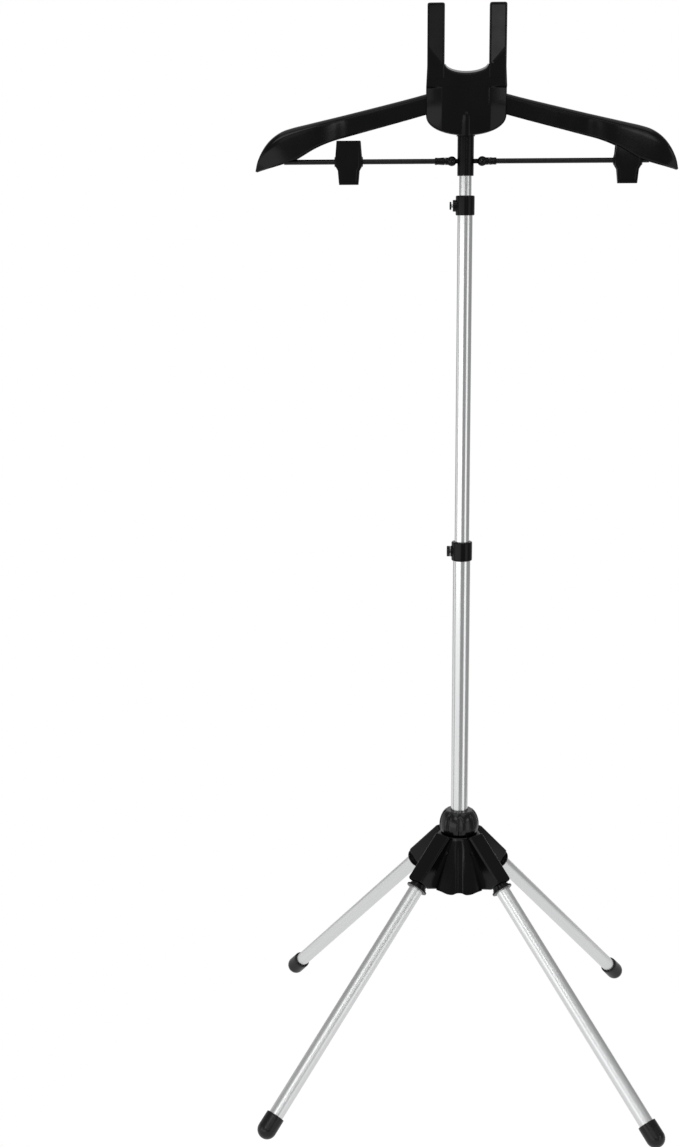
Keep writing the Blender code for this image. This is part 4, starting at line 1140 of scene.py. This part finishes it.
def white_glow(name, strength):
    material = bpy.data.materials.new(name)
    material.use_nodes = True
    tree = material.node_tree
    tree.nodes.clear()
    glow = tree.nodes.new("ShaderNodeEmission")
    glow.inputs["Color"].default_value = (1, 1, 1, 1)
    glow.inputs["Strength"].default_value = strength
    out = tree.nodes.new("ShaderNodeOutputMaterial")
    tree.links.new(glow.outputs["Emission"], out.inputs["Surface"])
    return material


def floor_material():
    """A pale floor that fades into the white backdrop away from the stand."""
    material, tree, shader, where = new_material("pale_floor", 0.1)
    shader.inputs["Base Color"].default_value = (0.35, 0.35, 0.35, 1)
    shader.inputs["Roughness"].default_value = 0.9
    shader.inputs["Emission Color"].default_value = (1, 1, 1, 1)
    shader.inputs["Emission Strength"].default_value = 0.8
    distance = tree.nodes.new("ShaderNodeVectorMath")
    distance.operation = "LENGTH"
    tree.links.new(where, distance.inputs[0])
    fade = spread(tree, distance.outputs["Value"], 0.0, 1.0, 0.15, 0.5)
    glow = tree.nodes.new("ShaderNodeEmission")
    mix = tree.nodes.new("ShaderNodeMixShader")
    tree.links.new(fade, mix.inputs["Fac"])
    tree.links.new(shader.outputs["BSDF"], mix.inputs[1])
    tree.links.new(glow.outputs["Emission"], mix.inputs[2])
    tree.links.new(mix.outputs["Shader"], tree.nodes["Material Output"].inputs["Surface"])
    return material


def white_sweep():
    """A white paper sweep under and behind the stand, seen only in its reflections: it gives the
    back legs their light grey, and the grazing edges of the glossy pieces thin light lines. The
    sheet below does the same for the folded legs, which hang through the sweep."""
    bm = bmesh.new()
    rows = [[bm.verts.new((x * half / 2, y, height)) for x in (-2, -1, 0, 1, 2)]
            for y, height, half in ((-650, -0.2, 560), (600, -0.2, 800), (4000, 0, 2700),
                                    (4800, 250, 3100), (5200, 1000, 3200), (5300, 5000, 3400))]
    skin(bm, rows, closed_rows=False, ring=False)
    below = [[bm.verts.new((x * 560, y, FLOOR_HEIGHT - 0.2)) for x in (-1, 1)] for y in (-650, 600)]
    skin(bm, below, closed_rows=False, ring=False)
    sweep = solid("white_sweep", bm)
    sweep.data.materials.append(white_glow("white_paper", 0.78))
    sweep.visible_camera = False
    sweep.visible_diffuse = False
    sweep.visible_shadow = False
    return sweep


def make_stage():
    bm = bmesh.new()
    bmesh.ops.create_circle(bm, cap_ends=True, segments=96, radius=9000)
    floor = solid("floor", bm, at((0, 0, FLOOR_HEIGHT)))
    floor.data.materials.append(floor_material())
    floor.visible_glossy = False
    floor.visible_shadow = False
    bm = bmesh.new()
    bmesh.ops.create_uvsphere(bm, u_segments=48, v_segments=24, radius=9000)
    backdrop = solid("backdrop", bm)
    backdrop.data.materials.append(white_glow("white_backdrop", 1.0))
    backdrop.visible_diffuse = False
    backdrop.visible_glossy = False
    backdrop.visible_transmission = False
    backdrop.visible_shadow = False
    white_sweep()


# Lamps, in metres: azimuth (0 is towards the camera, and positive to its right), distance,
# height, height of the aim, width, tallness and radiance
LAMPS = {
    "left_softbox": (-46, 3.0, 0.44, 0.44, 4.2, 1.2, 1.2),
    "left_low_panel": (-46, 3.0, -0.75, -0.75, 4.2, 1.2, 0.6),
    "left_side_panel": (-108, 3.0, 0.0, 0.0, 1.9, 2.0, 0.5),
    "left_high_panel": (-64, 3.0, 1.55, 1.2, 1.2, 0.6, 1.2),
    "right_softbox": (52, 3.0, -0.1, -0.1, 1.45, 2.3, 0.85),
    "right_high_panel": (60, 3.0, 1.55, 1.2, 1.2, 0.6, 2.2),
    "right_card": (14, 3.0, 1.5, 1.1, 0.45, 0.5, 2.6),
    "left_card": (-12, 3.0, 1.5, 1.1, 0.35, 0.5, 0.8),
    "upper_card": (0, 3.0, 2.3, 1.1, 2.4, 0.35, 1.8),
    "high_left_softbox": (-25, 2.5, 2.35, 0.2, 1.0, 1.0, 2.4),
    "overhead_softbox": (0, 0.2, 3.1, 0.0, 3.0, 3.0, 0.9),
}


def softbox(name, azimuth, distance, height, aim, width, tall, radiance):
    """A rectangular light beside the stand, which faces the pole's axis."""
    light = bpy.data.lights.new(name, "AREA")
    light.shape = "RECTANGLE"
    light.size = width
    light.size_y = tall
    light.energy = radiance * math.pi * width * tall
    lamp = bpy.data.objects.new(name, light)
    angle = math.radians(azimuth)
    place = Vector((distance * math.sin(angle), -distance * math.cos(angle), height))
    turn = (Vector((0, 0, aim)) - place).to_track_quat("-Z", "Y").to_matrix().to_4x4()
    lamp.visible_camera = False
    link(lamp, Matrix.Translation(place) @ turn)


def make_lights():
    world = bpy.data.worlds.new("studio")
    world.use_nodes = True
    ambient = world.node_tree.nodes["Background"]
    ambient.inputs["Color"].default_value = (1, 1, 1, 1)
    ambient.inputs["Strength"].default_value = 0.33
    bpy.context.scene.world = world
    for name, settings in LAMPS.items():
        softbox(name, *settings)


def make_camera():
    camera = bpy.data.cameras.new("camera")
    camera.lens = CAMERA_LENS
    camera.sensor_width = 36.0
    camera.clip_end = 50.0
    turn = spin(CAMERA_YAW, "Z") @ spin(90 + CAMERA_TILT, "X") @ spin(CAMERA_ROLL, "Z")
    holder = link(bpy.data.objects.new("camera", camera), at(CAMERA_PLACE, turn))
    bpy.context.scene.camera = holder


make_stage()
make_lights()
make_camera()
bpy.context.scene.view_settings.view_transform = "Standard"
